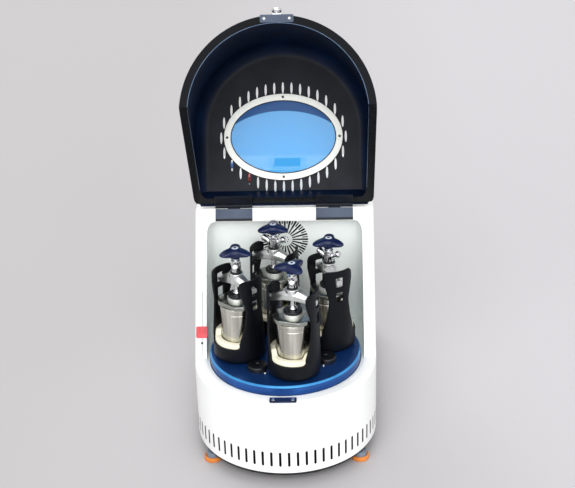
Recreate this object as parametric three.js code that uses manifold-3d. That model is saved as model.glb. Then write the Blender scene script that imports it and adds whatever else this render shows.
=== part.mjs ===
// Vertical planetary ball mill with four clamped jars, its lid standing open.
// Millimetres, +Z up. The origin lies on the floor under the middle of the mill,
// the front faces -Y and the lid hinges at the rear edge of the milling chamber.
import * as THREE from 'three';
import { mergeVertices } from 'three/addons/utils/BufferGeometryUtils.js';
import Module from 'manifold-3d';

const wasm = await Module();
wasm.setup();

// Clearances
const seatGap = 0.3;          // between pieces that rest on each other
const runningGap = 0.5;       // between pieces that turn past each other
const overrun = 2;            // how far a cutter passes the face it opens

// Facets of round shapes
const bodyFacets = 36;
const mediumFacets = 16;
const smallFacets = 8;
const filletFacets = 3;

// Housing
const rearDepth = 388;        // from the chamber's back wall to the housing's rear
const bodyBottom = 32;
const rimHeight = 236;
const deckHeight = 568;
const bodyEdgeRadius = 12;
const rearCornerRadius = 30;
const rearTopChamfer = 14;
const shellWall = 3;
const rimFlangeWidth = 31;
const openingCornerRadius = 22;

// Lid hinge and the parting line between the housing's rim and the lid's rim
const hingeSetback = 9;        // in front of the chamber's back wall
const hingeAboveDeck = 7;
const slopeRun = 211;          // from the hinge forward to the slope's foot
const partingHalfGap = 3.25;
const openAngle = THREE.MathUtils.degToRad(117);

// Vent slots round the foot of the housing
const ventCount = 32;
const ventStep = THREE.MathUtils.degToRad(5.4);
const ventWidth = 5;
const ventLow = 51;
const ventHigh = 93;

// Milling chamber
const wellMargin = 7.5;        // from the well's wall to the chamber's wall
const linerWall = 3;
const floorThickness = 4;
const wellClearance = 1.5;
const wellDepth = 46;

// Fan behind the chamber's back wall
const fanHeadroom = 35;        // from the fan's tips up to the deck
const grilleRadius = 61;
const grilleHubRadius = 19;
const grilleSlots = 24;
const grilleSlotInnerWidth = 2.6;
const grilleSlotOuterWidth = 4.4;
const fanRadius = 58;
const fanHubRadius = 20;
const fanDepth = 20;
const fanBlades = 7;
const fanBladeThickness = 2;
const fanBladeChord = 22;
const fanBladePitch = THREE.MathUtils.degToRad(38);
const fanPinRadius = 4;
const fanBossLength = 6;

// Turntable
const turntableMargin = 10.3;  // from a holder's side to the turntable's edge
const turntableRise = 22;      // from the housing's rim up to the turntable's top
const turntableThickness = 21;
const turntableBevel = 4;
const turntableSkirt = 6;      // how far the rim reaches below the plate
const turntableSkirtWidth = 10;
const orbitRadius = 118.7;
const holderCount = 4;
const firstHolderAngle = THREE.MathUtils.degToRad(-77);
const holderStep = 2 * Math.PI / holderCount;
const capOrbit = 126;
const capRadius = 25;
const capHeight = 14;
const capCrown = 4;

// Drive
const driveShaftRadius = 15;
const driveFlangeRadius = 60;
const driveFlangeThickness = 12;
const drivePulleyRadius = 80;
const motorPulleyRadius = 40;
const pulleyWidth = 22;
const pulleyBottom = 62;
const pulleyLip = 3;
const pulleyGroove = 6;
const beltThickness = 5;
const motorSetback = 126;      // from the chamber's back wall to the motor's axis
const motorRadius = 66;
const motorHeight = 200;
const motorPlate = 8;
const motorPlateHalf = 82;
const motorLegRadius = 9;
const motorShaftRadius = 9;
const bearingRadius = 32;
const bearingAbovePulley = 12.7;
const bearingFlangeRadius = 60;
const bearingFlangeThickness = 8;
const spigotRadius = 26;
const spigotLength = 34;

// Gears: a fixed sun wheel and four planet wheels
const sunTeeth = 32;
const planetTeeth = 16;
const gearThickness = 18;
const gearBacklash = 0.5;
const toothRootShare = 0.31;      // half a tooth's root, of the pitch
const toothTipShare = 0.12;       // half a tooth's tip, of the pitch
const sunLift = 3;
const planetShaftRadius = 12;
const planetCollarRadius = 22;
const planetCollarHeight = 14;
const planetHubRadius = 18;

// Jar holder
const holderRadius = 66;
const holderTopRadius = 63;
const holderWall = 5;
const holderFloor = 14;
const armRise = 64.6;          // from the jar's boss up to the arms' tops
const holderBaseEdge = 11;
const lipHeight = 45;
const armFootHalfWidth = 43;
const armFootHeight = 60;
const armFootCorner = 8;
const waistHalfWidth = 25.5;
const waistAboveWindow = 3;    // from the lower window's sill up to the waist
const armTopHalfWidth = 37.5;
const armShoulderDrop = 32;    // from the arms' tops down to the shoulders
const armCornerRadius = 12;
const armCornerShare = 0.33;      // how far the corner's middle point lies in
const waistShare = 0.33;          // how far the arm still has to narrow halfway up to the waist
const shoulderShare = 0.3;        // how far it has widened again halfway up to the shoulder
const windowWidth = 20.5;
const windowLength = 27;
const windowDrop = 17;         // from the arms' tops down to the upper window
const windowBridge = 13;       // between the two windows
const holderTurns = [-17, -65, -20, -41].map(THREE.MathUtils.degToRad);

// Cream seat between holder and jar
const seatFloor = 11;
const seatFrontHeight = 56;
const seatSideHeight = 70;
const seatSaddleHalfWidth = 40;
const seatSaddleCorner = 7;

// Jar with its lid
const jarRadius = 45;
const jarFootRadius = 43.5;
const jarBandHeight = 16;
const jarHeight = 120;
const jarWall = 7;
const jarFloor = 8;
const jarFootChamfer = 3;
const jarLidHalfLength = 48;
const jarLidHalfWidth = 41;
const jarLidCorner = 20;
const jarLidThickness = 11;
const jarBossRadius = 25.5;
const jarBossHeight = 9;
const jarBossTaper = 2;
const jarPlugDepth = 5;

// Clamp: bar, screw with foot and knob, lock nut with grips
const footRadius = 23.5;
const footThickness = 8;
const footNeckRadius = 12;
const footNeckHeight = 5;
const screwRadius = 7;
const barBossRadius = 19;
const barWindowClearance = 1;
const barWingThickness = 20;
const barBossOverlap = 4;
const barBossThickness = 23;
const barEndClearance = 2;
const barRootHalfWidth = 15;
const barEndHalfWidth = 8;
const nutRadius = 13;
const nutHeight = 30;
const nutCollarRadius = 14.5;
const nutCollarHeight = 4;
const gripRadius = 8.5;
const gripReach = 31;
const gripHeight = 30;
const gripSlant = THREE.MathUtils.degToRad(37);
const gripTurns = [107, 35, 0, 131].map(THREE.MathUtils.degToRad);
const knobAboveNut = 6.7;
const knobHeight = 26;
const knobHubRadius = 15;
const knobTipRadius = 10;
const knobReach = 34;
const knobLobes = 3;
const knobLobeRise = 8;        // from the hub's bottom up to the lobes
const knobLobeThickness = 15;
const knobCrownRadius = 10;
const knobTurns = [77, 31, 110, 14].map(THREE.MathUtils.degToRad);

// Lid
const lidAboveHinge = 16;
const lidWall = 4;
const lidFillet = 40;
const lidRimWidth = 20;
const lidRearFillet = 9;
const lidRearInset = 26;
const windowHalfLength = 114;
const windowSideMargin = 78.5;  // from the window's frame to the lid's side
const windowCentreY = 14;
const ringWidth = 17;
const ringThickness = 7;
const ringLipThickness = 4;
const paneThickness = 4;
const paneOverlap = 8;
const ringScrewRadius = 3;
const lidSlotLength = 31;
const lidSlotWidth = 6;
const lidSlotPitch = 22.8;
const lidSlotCount = 13;        // in each row before and behind the window
const lidSlotClearance = 17;
const lidSlotSideClearance = 8;
const lidSideSlotPitch = 40;

// Lid hinges
const hingeSideMargin = 103;   // from a hinge's middle to the housing's side
const hingeLeafWidth = 97;
const hingeLeafLength = 40;
const hingeLeafInset = 0.15;
const hingeBarrelRadius = 5.5;
const hingePinRadius = 2.5;
const hingeNotchRadius = 7.5;
const hingeBaseKnuckle = 32;

// Small pieces on the housing and the lid
const latchWidth = 66;
const latchLength = 22;
const latchThickness = 2.5;
const latchSetback = 2;
const catchWidth = 80;
const catchLength = 19;
const catchThickness = 2;
const catchTabWidth = 24;
const catchTabHeight = 24;
const catchStemRadius = 5;
const catchStemLength = 4;
const catchBallRadius = 13;
const catchBallDepth = 17.5;
const sensorSize = 30;
const sensorThickness = 5.2;
const sensorFromFoot = 80.5464191; // from the block's upper end down the slope to its foot
const sensorFromSide = 4;
const sensorWireWidth = 2;
const sensorWireThickness = 1.2;
const sensorWireAbove = 92;
const sensorWireBelow = 48;
const panelSize = 104;
const panelThickness = 4;
const panelFromRear = 86;
const panelCorner = 6;
const screenWidth = 75;
const screenLength = 66;
const screenDepth = 1;
const stopFromSide = 131;
const stopFromChamber = 182;
const stopHeadRadius = 16;
const stopHeadHeight = 12;
const stopTravel = 5;
const powerFromSide = 72;
const powerFromRear = 97;
const powerHeadRadius = 12;
const powerHeadHeight = 8;
const powerTravel = 3;
const buttonStemRadius = 8;
const buttonStemLength = 24;
const buttonGuardGap = 1;
const buttonSideShare = 0.6;       // of a head's height, up to its edge
const buttonCrownShare = 0.8;      // of a head's radius, flat on top

// Base plate and feet
const basePlateThickness = 8;
const basePlateInset = 3;
const footRingRadius = 23;
const footRingHeight = 12;
const footCupRadius = 16;
const footSideInset = 45;
const footEdgeInset = 9.743;   // from a front foot's middle to the rounded front
const footRearInset = 60;
const footPitInset = 3;

// Sizes that follow from the ones above
const turntableRadius = orbitRadius + holderRadius + turntableMargin;
const wellRadius = turntableRadius + wellClearance;
const rimInnerRadius = wellRadius + wellMargin;
const bodyHalfWidth = rimInnerRadius + rimFlangeWidth;
const chamberBack = rimInnerRadius;
const motorBack = chamberBack + motorSetback;
const bodyRear = chamberBack + rearDepth;
const hingeBack = chamberBack - hingeSetback;
const hingeHeight = deckHeight + hingeAboveDeck;
const slopeFoot = hingeBack - slopeRun;
const lidTop = hingeHeight + lidAboveHinge;
const grilleHeight = deckHeight - shellWall - fanHeadroom - fanRadius;
const windowHalfWidth = bodyHalfWidth - windowSideMargin;
const hingeCentreX = bodyHalfWidth - hingeSideMargin;
const panelCentreY = bodyRear - panelFromRear;
const stopX = stopFromSide - bodyHalfWidth;
const stopY = chamberBack + stopFromChamber;
const powerX = powerFromSide - bodyHalfWidth;
const powerY = bodyRear - powerFromRear;
const footFrontX = bodyHalfWidth - footSideInset;
const footFrontY = -Math.sqrt((bodyHalfWidth - footEdgeInset) ** 2 - footFrontX ** 2);
const slopeAngle = Math.atan2(hingeHeight - rimHeight - partingHalfGap, hingeBack - slopeFoot);
const openingRear = hingeBack - rimFlangeWidth * Math.cos(slopeAngle);
const floorTop = rimHeight - shellWall - seatGap;
const floorBottom = floorTop - floorThickness;
const wellTop = floorTop - wellDepth;
const wellBottom = wellTop - floorThickness;
const turntableTop = rimHeight + turntableRise;
const turntableBottom = turntableTop - turntableThickness;
const bearingLength = wellBottom - pulleyBottom - pulleyWidth - bearingAbovePulley;
const basePlateTop = bodyBottom - seatGap;
const basePlateBottom = basePlateTop - basePlateThickness;
const sunPitchRadius = orbitRadius * sunTeeth / (sunTeeth + planetTeeth);
const planetPitchRadius = orbitRadius - sunPitchRadius;
const holderBase = runningGap;
const seatBase = holderBase + holderFloor + seatGap;
const seatRadius = holderRadius - holderWall - seatGap;
const seatBore = jarRadius + seatGap;
const jarBase = seatBase + seatFloor + seatGap;
const jarTop = jarBase + jarHeight;
const jarLidBase = jarTop + seatGap;
const jarBossTop = jarLidBase + jarLidThickness + jarBossHeight;
const footBase = jarBossTop + seatGap;
const holderHeight = jarBossTop + armRise;
const armShoulderHeight = holderHeight - armShoulderDrop;
const upperWindowHigh = holderHeight - windowDrop;
const upperWindowLow = upperWindowHigh - windowLength;
const lowerWindowHigh = upperWindowLow - windowBridge;
const lowerWindowLow = lowerWindowHigh - windowLength;
const waistHeight = lowerWindowLow + waistAboveWindow;
const barWingHigh = upperWindowHigh - barWindowClearance;
const barWingLow = barWingHigh - barWingThickness;
const barBossLow = barWingHigh - barBossOverlap;
const barBossHigh = barBossLow + barBossThickness;
const nutBase = barBossHigh + seatGap;
const knobBottom = nutBase + nutCollarHeight + nutHeight + knobAboveNut;
const knobLobeLow = knobBottom + knobLobeRise;
const knobLobeHigh = knobLobeLow + knobLobeThickness;

// Turns a closed geometry into a solid; its profile may run either way round
function solid(geometry) {
  const bare = geometry.clone();
  bare.deleteAttribute('normal');
  bare.deleteAttribute('uv');
  const merged = mergeVertices(bare);
  const position = merged.attributes.position;
  const index = merged.index.array;
  const corners = [];
  const a = new THREE.Vector3();
  const b = new THREE.Vector3();
  const c = new THREE.Vector3();
  let volume = 0;
  for (let i = 0; i < index.length; i += 3) {
    const [p, q, r] = [index[i], index[i + 1], index[i + 2]];
    if (p === q || q === r || r === p) continue;
    corners.push([p, q, r]);
    a.fromBufferAttribute(position, p);
    b.fromBufferAttribute(position, q);
    c.fromBufferAttribute(position, r);
    volume += a.dot(b.cross(c));
  }
  const ordered = volume < 0 ? corners.map(([p, q, r]) => [p, r, q]) : corners;
  return new wasm.Manifold(new wasm.Mesh({
    numProp: 3,
    vertProperties: new Float32Array(position.array),
    triVerts: new Uint32Array(ordered.flat()),
  }));
}

function join(first, ...others) {
  return others.reduce((sum, other) => sum.add(other), first);
}

function cut(first, ...others) {
  return others.reduce((rest, other) => rest.subtract(other), first);
}

function common(first, ...others) {
  return others.reduce((part, other) => part.intersect(other), first);
}

// Basic shapes as solids
function lathe(points, facets) {
  const profile = points.map(([radius, height]) => new THREE.Vector2(radius, height));
  const onAxis = points[0][0] === 0 && points[points.length - 1][0] === 0;
  if (!onAxis) profile.push(profile[0].clone());
  return solid(new THREE.LatheGeometry(profile, facets).rotateX(Math.PI / 2));
}

function disc(radius, low, high, facets, x = 0, y = 0) {
  const geometry = new THREE.CylinderGeometry(radius, radius, high - low, facets);
  geometry.rotateX(Math.PI / 2);
  geometry.translate(x, y, (low + high) / 2);
  return solid(geometry);
}

function block(x, y, z) {
  const geometry = new THREE.BoxGeometry(x[1] - x[0], y[1] - y[0], z[1] - z[0]);
  geometry.translate((x[0] + x[1]) / 2, (y[0] + y[1]) / 2, (z[0] + z[1]) / 2);
  return solid(geometry);
}

function outline(points) {
  return new THREE.Shape(points.map(([a, b]) => new THREE.Vector2(a, b)));
}

function extrudeZ(points, low, high) {
  const geometry = new THREE.ExtrudeGeometry(outline(points), { depth: high - low, bevelEnabled: false });
  return solid(geometry.translate(0, 0, low));
}

// The outline's two axes become Y and Z
const alongX = new THREE.Matrix4().makeBasis(
  new THREE.Vector3(0, 1, 0), new THREE.Vector3(0, 0, 1), new THREE.Vector3(1, 0, 0));

function extrudeX(points, low, high) {
  const geometry = new THREE.ExtrudeGeometry(outline(points), { depth: high - low, bevelEnabled: false });
  geometry.applyMatrix4(alongX);
  return solid(geometry.translate(low, 0, 0));
}

// The outline's two axes become X and Z
function extrudeY(points, low, high) {
  const geometry = new THREE.ExtrudeGeometry(outline(points), { depth: high - low, bevelEnabled: false });
  geometry.rotateX(Math.PI / 2);
  return solid(geometry.translate(0, high, 0));
}

// An extrusion along X whose long edges are rounded towards both ends
function roundedExtrudeX(points, halfWidth, radius) {
  const geometry = new THREE.ExtrudeGeometry(outline(points), {
    depth: 2 * (halfWidth - radius),
    bevelThickness: radius,
    bevelSize: radius,
    bevelOffset: -radius,
    bevelSegments: filletFacets,
  });
  geometry.applyMatrix4(alongX);
  return solid(geometry.translate(radius - halfWidth, 0, 0));
}

function arc(centreA, centreB, radius, start, end, facets) {
  return Array.from({ length: facets + 1 }, (_, i) => {
    const angle = start + (end - start) * i / facets;
    return [centreA + radius * Math.cos(angle), centreB + radius * Math.sin(angle)];
  });
}

function ellipse(halfA, halfB, facets, centreB = 0) {
  return Array.from({ length: facets }, (_, i) => {
    const angle = 2 * Math.PI * i / facets;
    return [halfA * Math.cos(angle), centreB + halfB * Math.sin(angle)];
  });
}

function roundedRectangle(halfA, halfB, radius, facets = filletFacets) {
  const quarter = Math.PI / 2;
  return [
    ...arc(halfA - radius, halfB - radius, radius, 0, quarter, facets),
    ...arc(radius - halfA, halfB - radius, radius, quarter, 2 * quarter, facets),
    ...arc(radius - halfA, radius - halfB, radius, 2 * quarter, 3 * quarter, facets),
    ...arc(halfA - radius, radius - halfB, radius, 3 * quarter, 4 * quarter, facets),
  ];
}

// Seen from above: a half round front and straight sides back to the rear
function frontRounded(radius, rear, cornerRadius) {
  return [
    ...arc(0, 0, radius, -Math.PI, 0, bodyFacets / 2),
    ...arc(radius - cornerRadius, rear - cornerRadius, cornerRadius, 0, Math.PI / 2, filletFacets + 1),
    ...arc(cornerRadius - radius, rear - cornerRadius, cornerRadius, Math.PI / 2, Math.PI, filletFacets + 1),
  ];
}

// Where the sloping parting line, moved back by an offset, crosses a height
function slopeY(height, offset) {
  return hingeBack + (height - hingeHeight) / Math.tan(slopeAngle) + offset / Math.sin(slopeAngle);
}

// The closed housing's outer form, drawn in by an inset on every side but the bottom
function housingForm(inset, low) {
  const half = bodyHalfWidth - inset;
  const rear = bodyRear - inset;
  const deck = deckHeight - inset;
  const rim = rimHeight - inset;
  const edge = bodyEdgeRadius - inset;
  const offset = partingHalfGap + inset;
  const beyond = 2 * bodyEdgeRadius;
  const side = [
    [-half - beyond, low - beyond],
    [rear, low - beyond],
    [rear, deck - rearTopChamfer],
    [rear - rearTopChamfer, deck],
    [slopeY(deck, offset), deck],
    [slopeY(rim, offset), rim],
    [-half - beyond, rim],
  ];
  const plan = extrudeZ(frontRounded(half, rear, rearCornerRadius - inset), low, deck + overrun);
  const edgeRing = lathe([
    ...arc(half - edge, rim - edge, edge, Math.PI / 2, 0, filletFacets),
    [half + overrun, rim - edge],
    [half + overrun, rim + overrun],
    [half - edge, rim + overrun],
  ], bodyFacets);
  const frontOnly = block([-2 * half, 2 * half], [-2 * half, slopeY(rim, offset)], [low, deck]);
  return cut(common(roundedExtrudeX(side, half, edge), plan), common(edgeRing, frontOnly));
}

// Materials
function material(color, roughness, metalness, opacity = 1) {
  return new THREE.MeshStandardMaterial({ color, roughness, metalness, opacity, transparent: opacity < 1 });
}

const paint = {
  whiteEnamel: material(0xf1f3f1, 0.35, 0),
  blackGloss: material(0x14161a, 0.15, 0),
  blackPaint: material(0x1b1d22, 0.4, 0),
  blueAnodised: material(0x1d4f94, 0.3, 0.6),
  knobBlue: material(0x1a2a63, 0.35, 0),
  chrome: material(0xd8d8d8, 0.1, 1),
  steel: material(0xb9b6ae, 0.3, 1),
  aluminium: material(0xc9cdca, 0.35, 1),
  greySteel: material(0x5a6069, 0.4, 0.8),
  cream: material(0xf3f0dc, 0.5, 0),
  whitePlastic: material(0xf7f7f5, 0.4, 0),
  tintedPane: material(0x8fc0ee, 0.05, 0, 0.4),
  red: material(0xd8483f, 0.4, 0),
  blueButton: material(0x2f7fd0, 0.4, 0),
  orange: material(0xe08a3c, 0.6, 0),
  rubber: material(0x202020, 0.8, 0),
  panel: material(0x9fb4c8, 0.3, 0),
  castIron: material(0x4b5157, 0.6, 0.6),
};

// The model is drawn round the turntable's axis, then moved so that the origin lies under its middle
const mill = new THREE.Group();
mill.position.y = (bodyHalfWidth - bodyRear) / 2;

function addPiece(parent, name, piece, look) {
  const { vertProperties, triVerts } = piece.getMesh();
  const geometry = new THREE.BufferGeometry();
  geometry.setAttribute('position', new THREE.BufferAttribute(new Float32Array(vertProperties), 3));
  geometry.setIndex(new THREE.BufferAttribute(new Uint32Array(triVerts), 1));
  const mesh = new THREE.Mesh(geometry, look);
  mesh.name = name;
  parent.add(mesh);
}

function addGroup(parent, x, y, z, turn = 0) {
  const group = new THREE.Group();
  group.position.set(x, y, z);
  group.rotation.z = turn;
  parent.add(group);
  return group;
}

// Housing shell: a hollow skin, open below, with the chamber's mouth cut in its rim
function housingShell() {
  let shell = cut(housingForm(0, bodyBottom), housingForm(shellWall, bodyBottom - overrun));
  const mouth = frontRounded(rimInnerRadius, openingRear, openingCornerRadius);
  shell = cut(shell, extrudeZ(mouth, rimHeight - shellWall - overrun, hingeHeight));
  for (let i = 0; i < ventCount; i += 1) {
    const angle = (i - (ventCount - 1) / 2) * ventStep;
    const slot = new THREE.BoxGeometry(ventWidth, shellWall + 2 * overrun, ventHigh - ventLow);
    slot.translate(0, shellWall / 2 - bodyHalfWidth, (ventLow + ventHigh) / 2);
    shell = cut(shell, solid(slot.rotateZ(angle)));
  }
  for (const [x, y] of [[stopX, stopY], [powerX, powerY]]) {
    const hole = disc(buttonStemRadius + seatGap, deckHeight - shellWall - overrun, deckHeight + overrun,
      smallFacets, x, y);
    shell = cut(shell, hole);
  }
  return shell;
}

// Chamber liner: floor with the gear well, side walls and the back wall with its fan grille
function chamberLiner() {
  const outerRadius = rimInnerRadius + linerWall;
  const inside = housingForm(shellWall + seatGap, floorBottom);
  const outer = common(inside,
    extrudeZ(frontRounded(outerRadius, chamberBack + linerWall, openingCornerRadius), floorBottom, deckHeight));
  const room = extrudeZ(frontRounded(rimInnerRadius, chamberBack, openingCornerRadius - linerWall),
    floorTop, deckHeight);
  const well = disc(wellRadius + linerWall, wellBottom, floorTop - floorThickness / 2, bodyFacets);
  let liner = join(cut(outer, room), well);
  liner = cut(liner, disc(wellRadius, wellTop, floorTop + overrun, bodyFacets));
  liner = cut(liner, disc(spigotRadius + seatGap, wellBottom - overrun, wellTop + overrun, mediumFacets));
  const back = [chamberBack - overrun, chamberBack + linerWall + overrun];
  for (let i = 0; i < grilleSlots; i += 1) {
    const angle = 2 * Math.PI * i / grilleSlots;
    const slot = [
      [grilleHubRadius, -grilleSlotInnerWidth / 2], [grilleRadius, -grilleSlotOuterWidth / 2],
      [grilleRadius, grilleSlotOuterWidth / 2], [grilleHubRadius, grilleSlotInnerWidth / 2],
    ].map(([out, side]) => [
      out * Math.cos(angle) - side * Math.sin(angle),
      grilleHeight + out * Math.sin(angle) + side * Math.cos(angle),
    ]);
    liner = cut(liner, extrudeY(slot, ...back));
  }
  const bossStart = chamberBack + linerWall / 2;
  const bossEnd = chamberBack + linerWall + fanBossLength;
  const boss = new THREE.CylinderGeometry(2 * fanPinRadius, 2 * fanPinRadius, bossEnd - bossStart, smallFacets);
  boss.translate(0, (bossStart + bossEnd) / 2, grilleHeight);
  const pinLength = fanDepth + 2 * seatGap;
  const pin = new THREE.CylinderGeometry(fanPinRadius, fanPinRadius, pinLength, smallFacets);
  pin.translate(0, bossEnd + pinLength / 2 - seatGap, grilleHeight);
  return join(liner, solid(boss), solid(pin));
}

// Fan rotor on the liner's pin
function fanRotor() {
  const front = chamberBack + linerWall + fanBossLength + seatGap;
  const middle = front + fanDepth / 2;
  const hub = new THREE.CylinderGeometry(fanHubRadius, fanHubRadius, fanDepth, smallFacets);
  let rotor = solid(hub.translate(0, middle, grilleHeight));
  for (let i = 0; i < fanBlades; i += 1) {
    const blade = new THREE.BoxGeometry(fanRadius - fanHubRadius / 2, fanBladeThickness, fanBladeChord);
    blade.rotateX(fanBladePitch);
    blade.translate((fanRadius + fanHubRadius / 2) / 2, middle, 0);
    blade.rotateY(2 * Math.PI * i / fanBlades);
    rotor = join(rotor, solid(blade.translate(0, 0, grilleHeight)));
  }
  const sweep = new THREE.CylinderGeometry(fanRadius, fanRadius, fanDepth, mediumFacets);
  const bore = new THREE.CylinderGeometry(fanPinRadius + runningGap, fanPinRadius + runningGap,
    fanDepth + 2 * overrun, smallFacets);
  rotor = common(rotor, solid(sweep.translate(0, middle, grilleHeight)));
  return cut(rotor, solid(bore.translate(0, middle, grilleHeight)));
}

function basePlate() {
  const rear = bodyRear - basePlateInset;
  const plan = frontRounded(bodyHalfWidth - basePlateInset, rear, rearCornerRadius - basePlateInset);
  return extrudeZ(plan, basePlateBottom, basePlateTop);
}

function foot() {
  const top = basePlateBottom - seatGap;
  return lathe([
    [0, 0],
    [footRingRadius, 0],
    [footRingRadius, footRingHeight],
    [footCupRadius + footPitInset, footRingHeight],
    [footCupRadius, top],
    [0, top],
  ], mediumFacets);
}

// A point on the sloping rim: along runs down from the hinge axis, lift stands off the parting line
function slopePoint(along, lift) {
  return [
    hingeBack - along * Math.cos(slopeAngle) - lift * Math.sin(slopeAngle),
    hingeHeight - along * Math.sin(slopeAngle) + lift * Math.cos(slopeAngle),
  ];
}

function slopeBlock(x, along, lift) {
  return extrudeX([
    slopePoint(along[0], lift[0]),
    slopePoint(along[1], lift[0]),
    slopePoint(along[1], lift[1]),
    slopePoint(along[0], lift[1]),
  ], x[0], x[1]);
}

function hingeRod(radius, low, high, facets) {
  const geometry = new THREE.CylinderGeometry(radius, radius, high - low, facets);
  geometry.rotateZ(Math.PI / 2);
  return solid(geometry.translate((low + high) / 2, hingeBack, hingeHeight));
}

// Hinge leaf on the housing with the middle knuckle and the pin
function hingeBase(centre) {
  const half = hingeLeafWidth / 2;
  const knuckle = hingeBaseKnuckle / 2;
  const lift = [seatGap - partingHalfGap, -hingeLeafInset];
  return join(
    slopeBlock([centre - half, centre + half], [hingeNotchRadius, hingeLeafLength], lift),
    slopeBlock([centre - knuckle, centre + knuckle], [0, hingeNotchRadius + overrun], lift),
    hingeRod(hingeBarrelRadius, centre - knuckle, centre + knuckle, smallFacets),
    hingeRod(hingePinRadius, centre - half, centre + half, smallFacets),
  );
}

// Hinge leaf on the lid, drawn with the lid closed, with the two outer knuckles
function hingeLeaf(centre) {
  const half = hingeLeafWidth / 2;
  const start = hingeBaseKnuckle / 2 + runningGap;
  const lift = [hingeLeafInset, partingHalfGap - seatGap];
  let leaf = slopeBlock([centre - half, centre + half], [hingeNotchRadius, hingeLeafLength], lift);
  for (const side of [-1, 1]) {
    const ends = [centre + side * start, centre + side * half].sort((a, b) => a - b);
    leaf = join(leaf,
      slopeBlock(ends, [0, hingeNotchRadius + overrun], lift),
      hingeRod(hingeBarrelRadius, ends[0], ends[1], smallFacets));
  }
  const bore = hingeRod(hingePinRadius + seatGap, centre - half - overrun, centre + half + overrun, smallFacets);
  return cut(leaf, bore);
}

function latchPlate() {
  const front = -bodyHalfWidth + latchSetback;
  const low = rimHeight + seatGap;
  const plate = extrudeZ(roundedRectangle(latchWidth / 2, latchLength / 2, latchThickness), 0, latchThickness);
  return plate.translate([0, front + latchLength / 2, low]);
}

// Plain red block of the lid switch with its thin wires, on the left of the sloping rim
function interlockSensor() {
  const outer = -bodyHalfWidth + sensorFromSide;
  const base = seatGap - partingHalfGap;
  const centre = outer + sensorSize / 2;
  const wire = [centre - sensorWireWidth / 2, centre + sensorWireWidth / 2];
  const slopeLength = Math.hypot(slopeRun, hingeHeight - rimHeight - partingHalfGap);
  const along = [slopeLength - sensorFromFoot, slopeLength - sensorFromFoot + sensorSize];
  return join(
    slopeBlock([outer, outer + sensorSize], along, [base, base + sensorThickness]),
    slopeBlock(wire, [along[0] - sensorWireAbove, along[1] + sensorWireBelow], [base, base + sensorWireThickness]),
  );
}

function displayPanel() {
  const half = panelSize / 2;
  const plate = extrudeZ(roundedRectangle(half, half, panelCorner), 0, panelThickness);
  const screen = block([-screenWidth / 2, screenWidth / 2], [-screenLength / 2, screenLength / 2],
    [panelThickness - screenDepth, panelThickness + overrun]);
  return cut(plate, screen).translate([0, panelCentreY, deckHeight + seatGap]);
}

// Push button: a head on a stem that slides through the deck
function button(headRadius, headHeight, travel) {
  const rest = travel + buttonGuardGap;
  return lathe([
    [0, -buttonStemLength],
    [buttonStemRadius, -buttonStemLength],
    [buttonStemRadius, rest],
    [headRadius, rest],
    [headRadius, rest + headHeight * buttonSideShare],
    [headRadius * buttonCrownShare, rest + headHeight],
    [0, rest + headHeight],
  ], smallFacets);
}

// Turntable: bevelled disc with four low caps and bores for the holders' shafts
function turntable() {
  const bottom = -turntableThickness;
  let plate = lathe([
    [0, bottom],
    [turntableRadius - turntableSkirtWidth, bottom],
    [turntableRadius - turntableSkirtWidth, bottom - turntableSkirt],
    [turntableRadius, bottom - turntableSkirt],
    [turntableRadius, -turntableBevel],
    [turntableRadius - turntableBevel, 0],
    [0, 0],
  ], bodyFacets);
  for (let i = 0; i < holderCount; i += 1) {
    const angle = firstHolderAngle + i * holderStep;
    const x = orbitRadius * Math.cos(angle);
    const y = orbitRadius * Math.sin(angle);
    plate = cut(plate, disc(planetShaftRadius + seatGap, bottom - overrun, overrun, mediumFacets, x, y));
  }
  const cap = lathe([
    [0, -turntableBevel],
    [capRadius, -turntableBevel],
    [capRadius, capHeight - capCrown],
    [capRadius - capCrown, capHeight],
    [0, capHeight],
  ], mediumFacets);
  for (let i = 0; i < holderCount; i += 1) {
    const angle = firstHolderAngle + (i + 1 / 2) * holderStep;
    plate = join(plate, cap.translate([capOrbit * Math.cos(angle), capOrbit * Math.sin(angle), 0]));
  }
  return plate;
}

// Main shaft with the flange under the turntable and the pulley at its foot
function driveShaft() {
  const top = turntableBottom - seatGap;
  const pulleyTop = pulleyBottom + pulleyWidth;
  const groove = drivePulleyRadius - pulleyGroove;
  return lathe([
    [0, pulleyBottom],
    [drivePulleyRadius, pulleyBottom],
    [drivePulleyRadius, pulleyBottom + pulleyLip],
    [groove, pulleyBottom + pulleyLip],
    [groove, pulleyTop - pulleyLip],
    [drivePulleyRadius, pulleyTop - pulleyLip],
    [drivePulleyRadius, pulleyTop],
    [driveShaftRadius, pulleyTop],
    [driveShaftRadius, top - driveFlangeThickness],
    [driveFlangeRadius, top - driveFlangeThickness],
    [driveFlangeRadius, top],
    [0, top],
  ], mediumFacets);
}

// Bearing tube under the well's floor, its spigot standing up through the floor into the sun wheel
function bearingHousing() {
  const flangeTop = wellBottom - seatGap;
  const bore = driveShaftRadius + seatGap;
  return lathe([
    [bore, flangeTop - bearingLength],
    [bearingRadius, flangeTop - bearingLength],
    [bearingRadius, flangeTop - bearingFlangeThickness],
    [bearingFlangeRadius, flangeTop - bearingFlangeThickness],
    [bearingFlangeRadius, flangeTop],
    [spigotRadius, flangeTop],
    [spigotRadius, flangeTop + spigotLength],
    [bore, flangeTop + spigotLength],
  ], mediumFacets);
}

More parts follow.
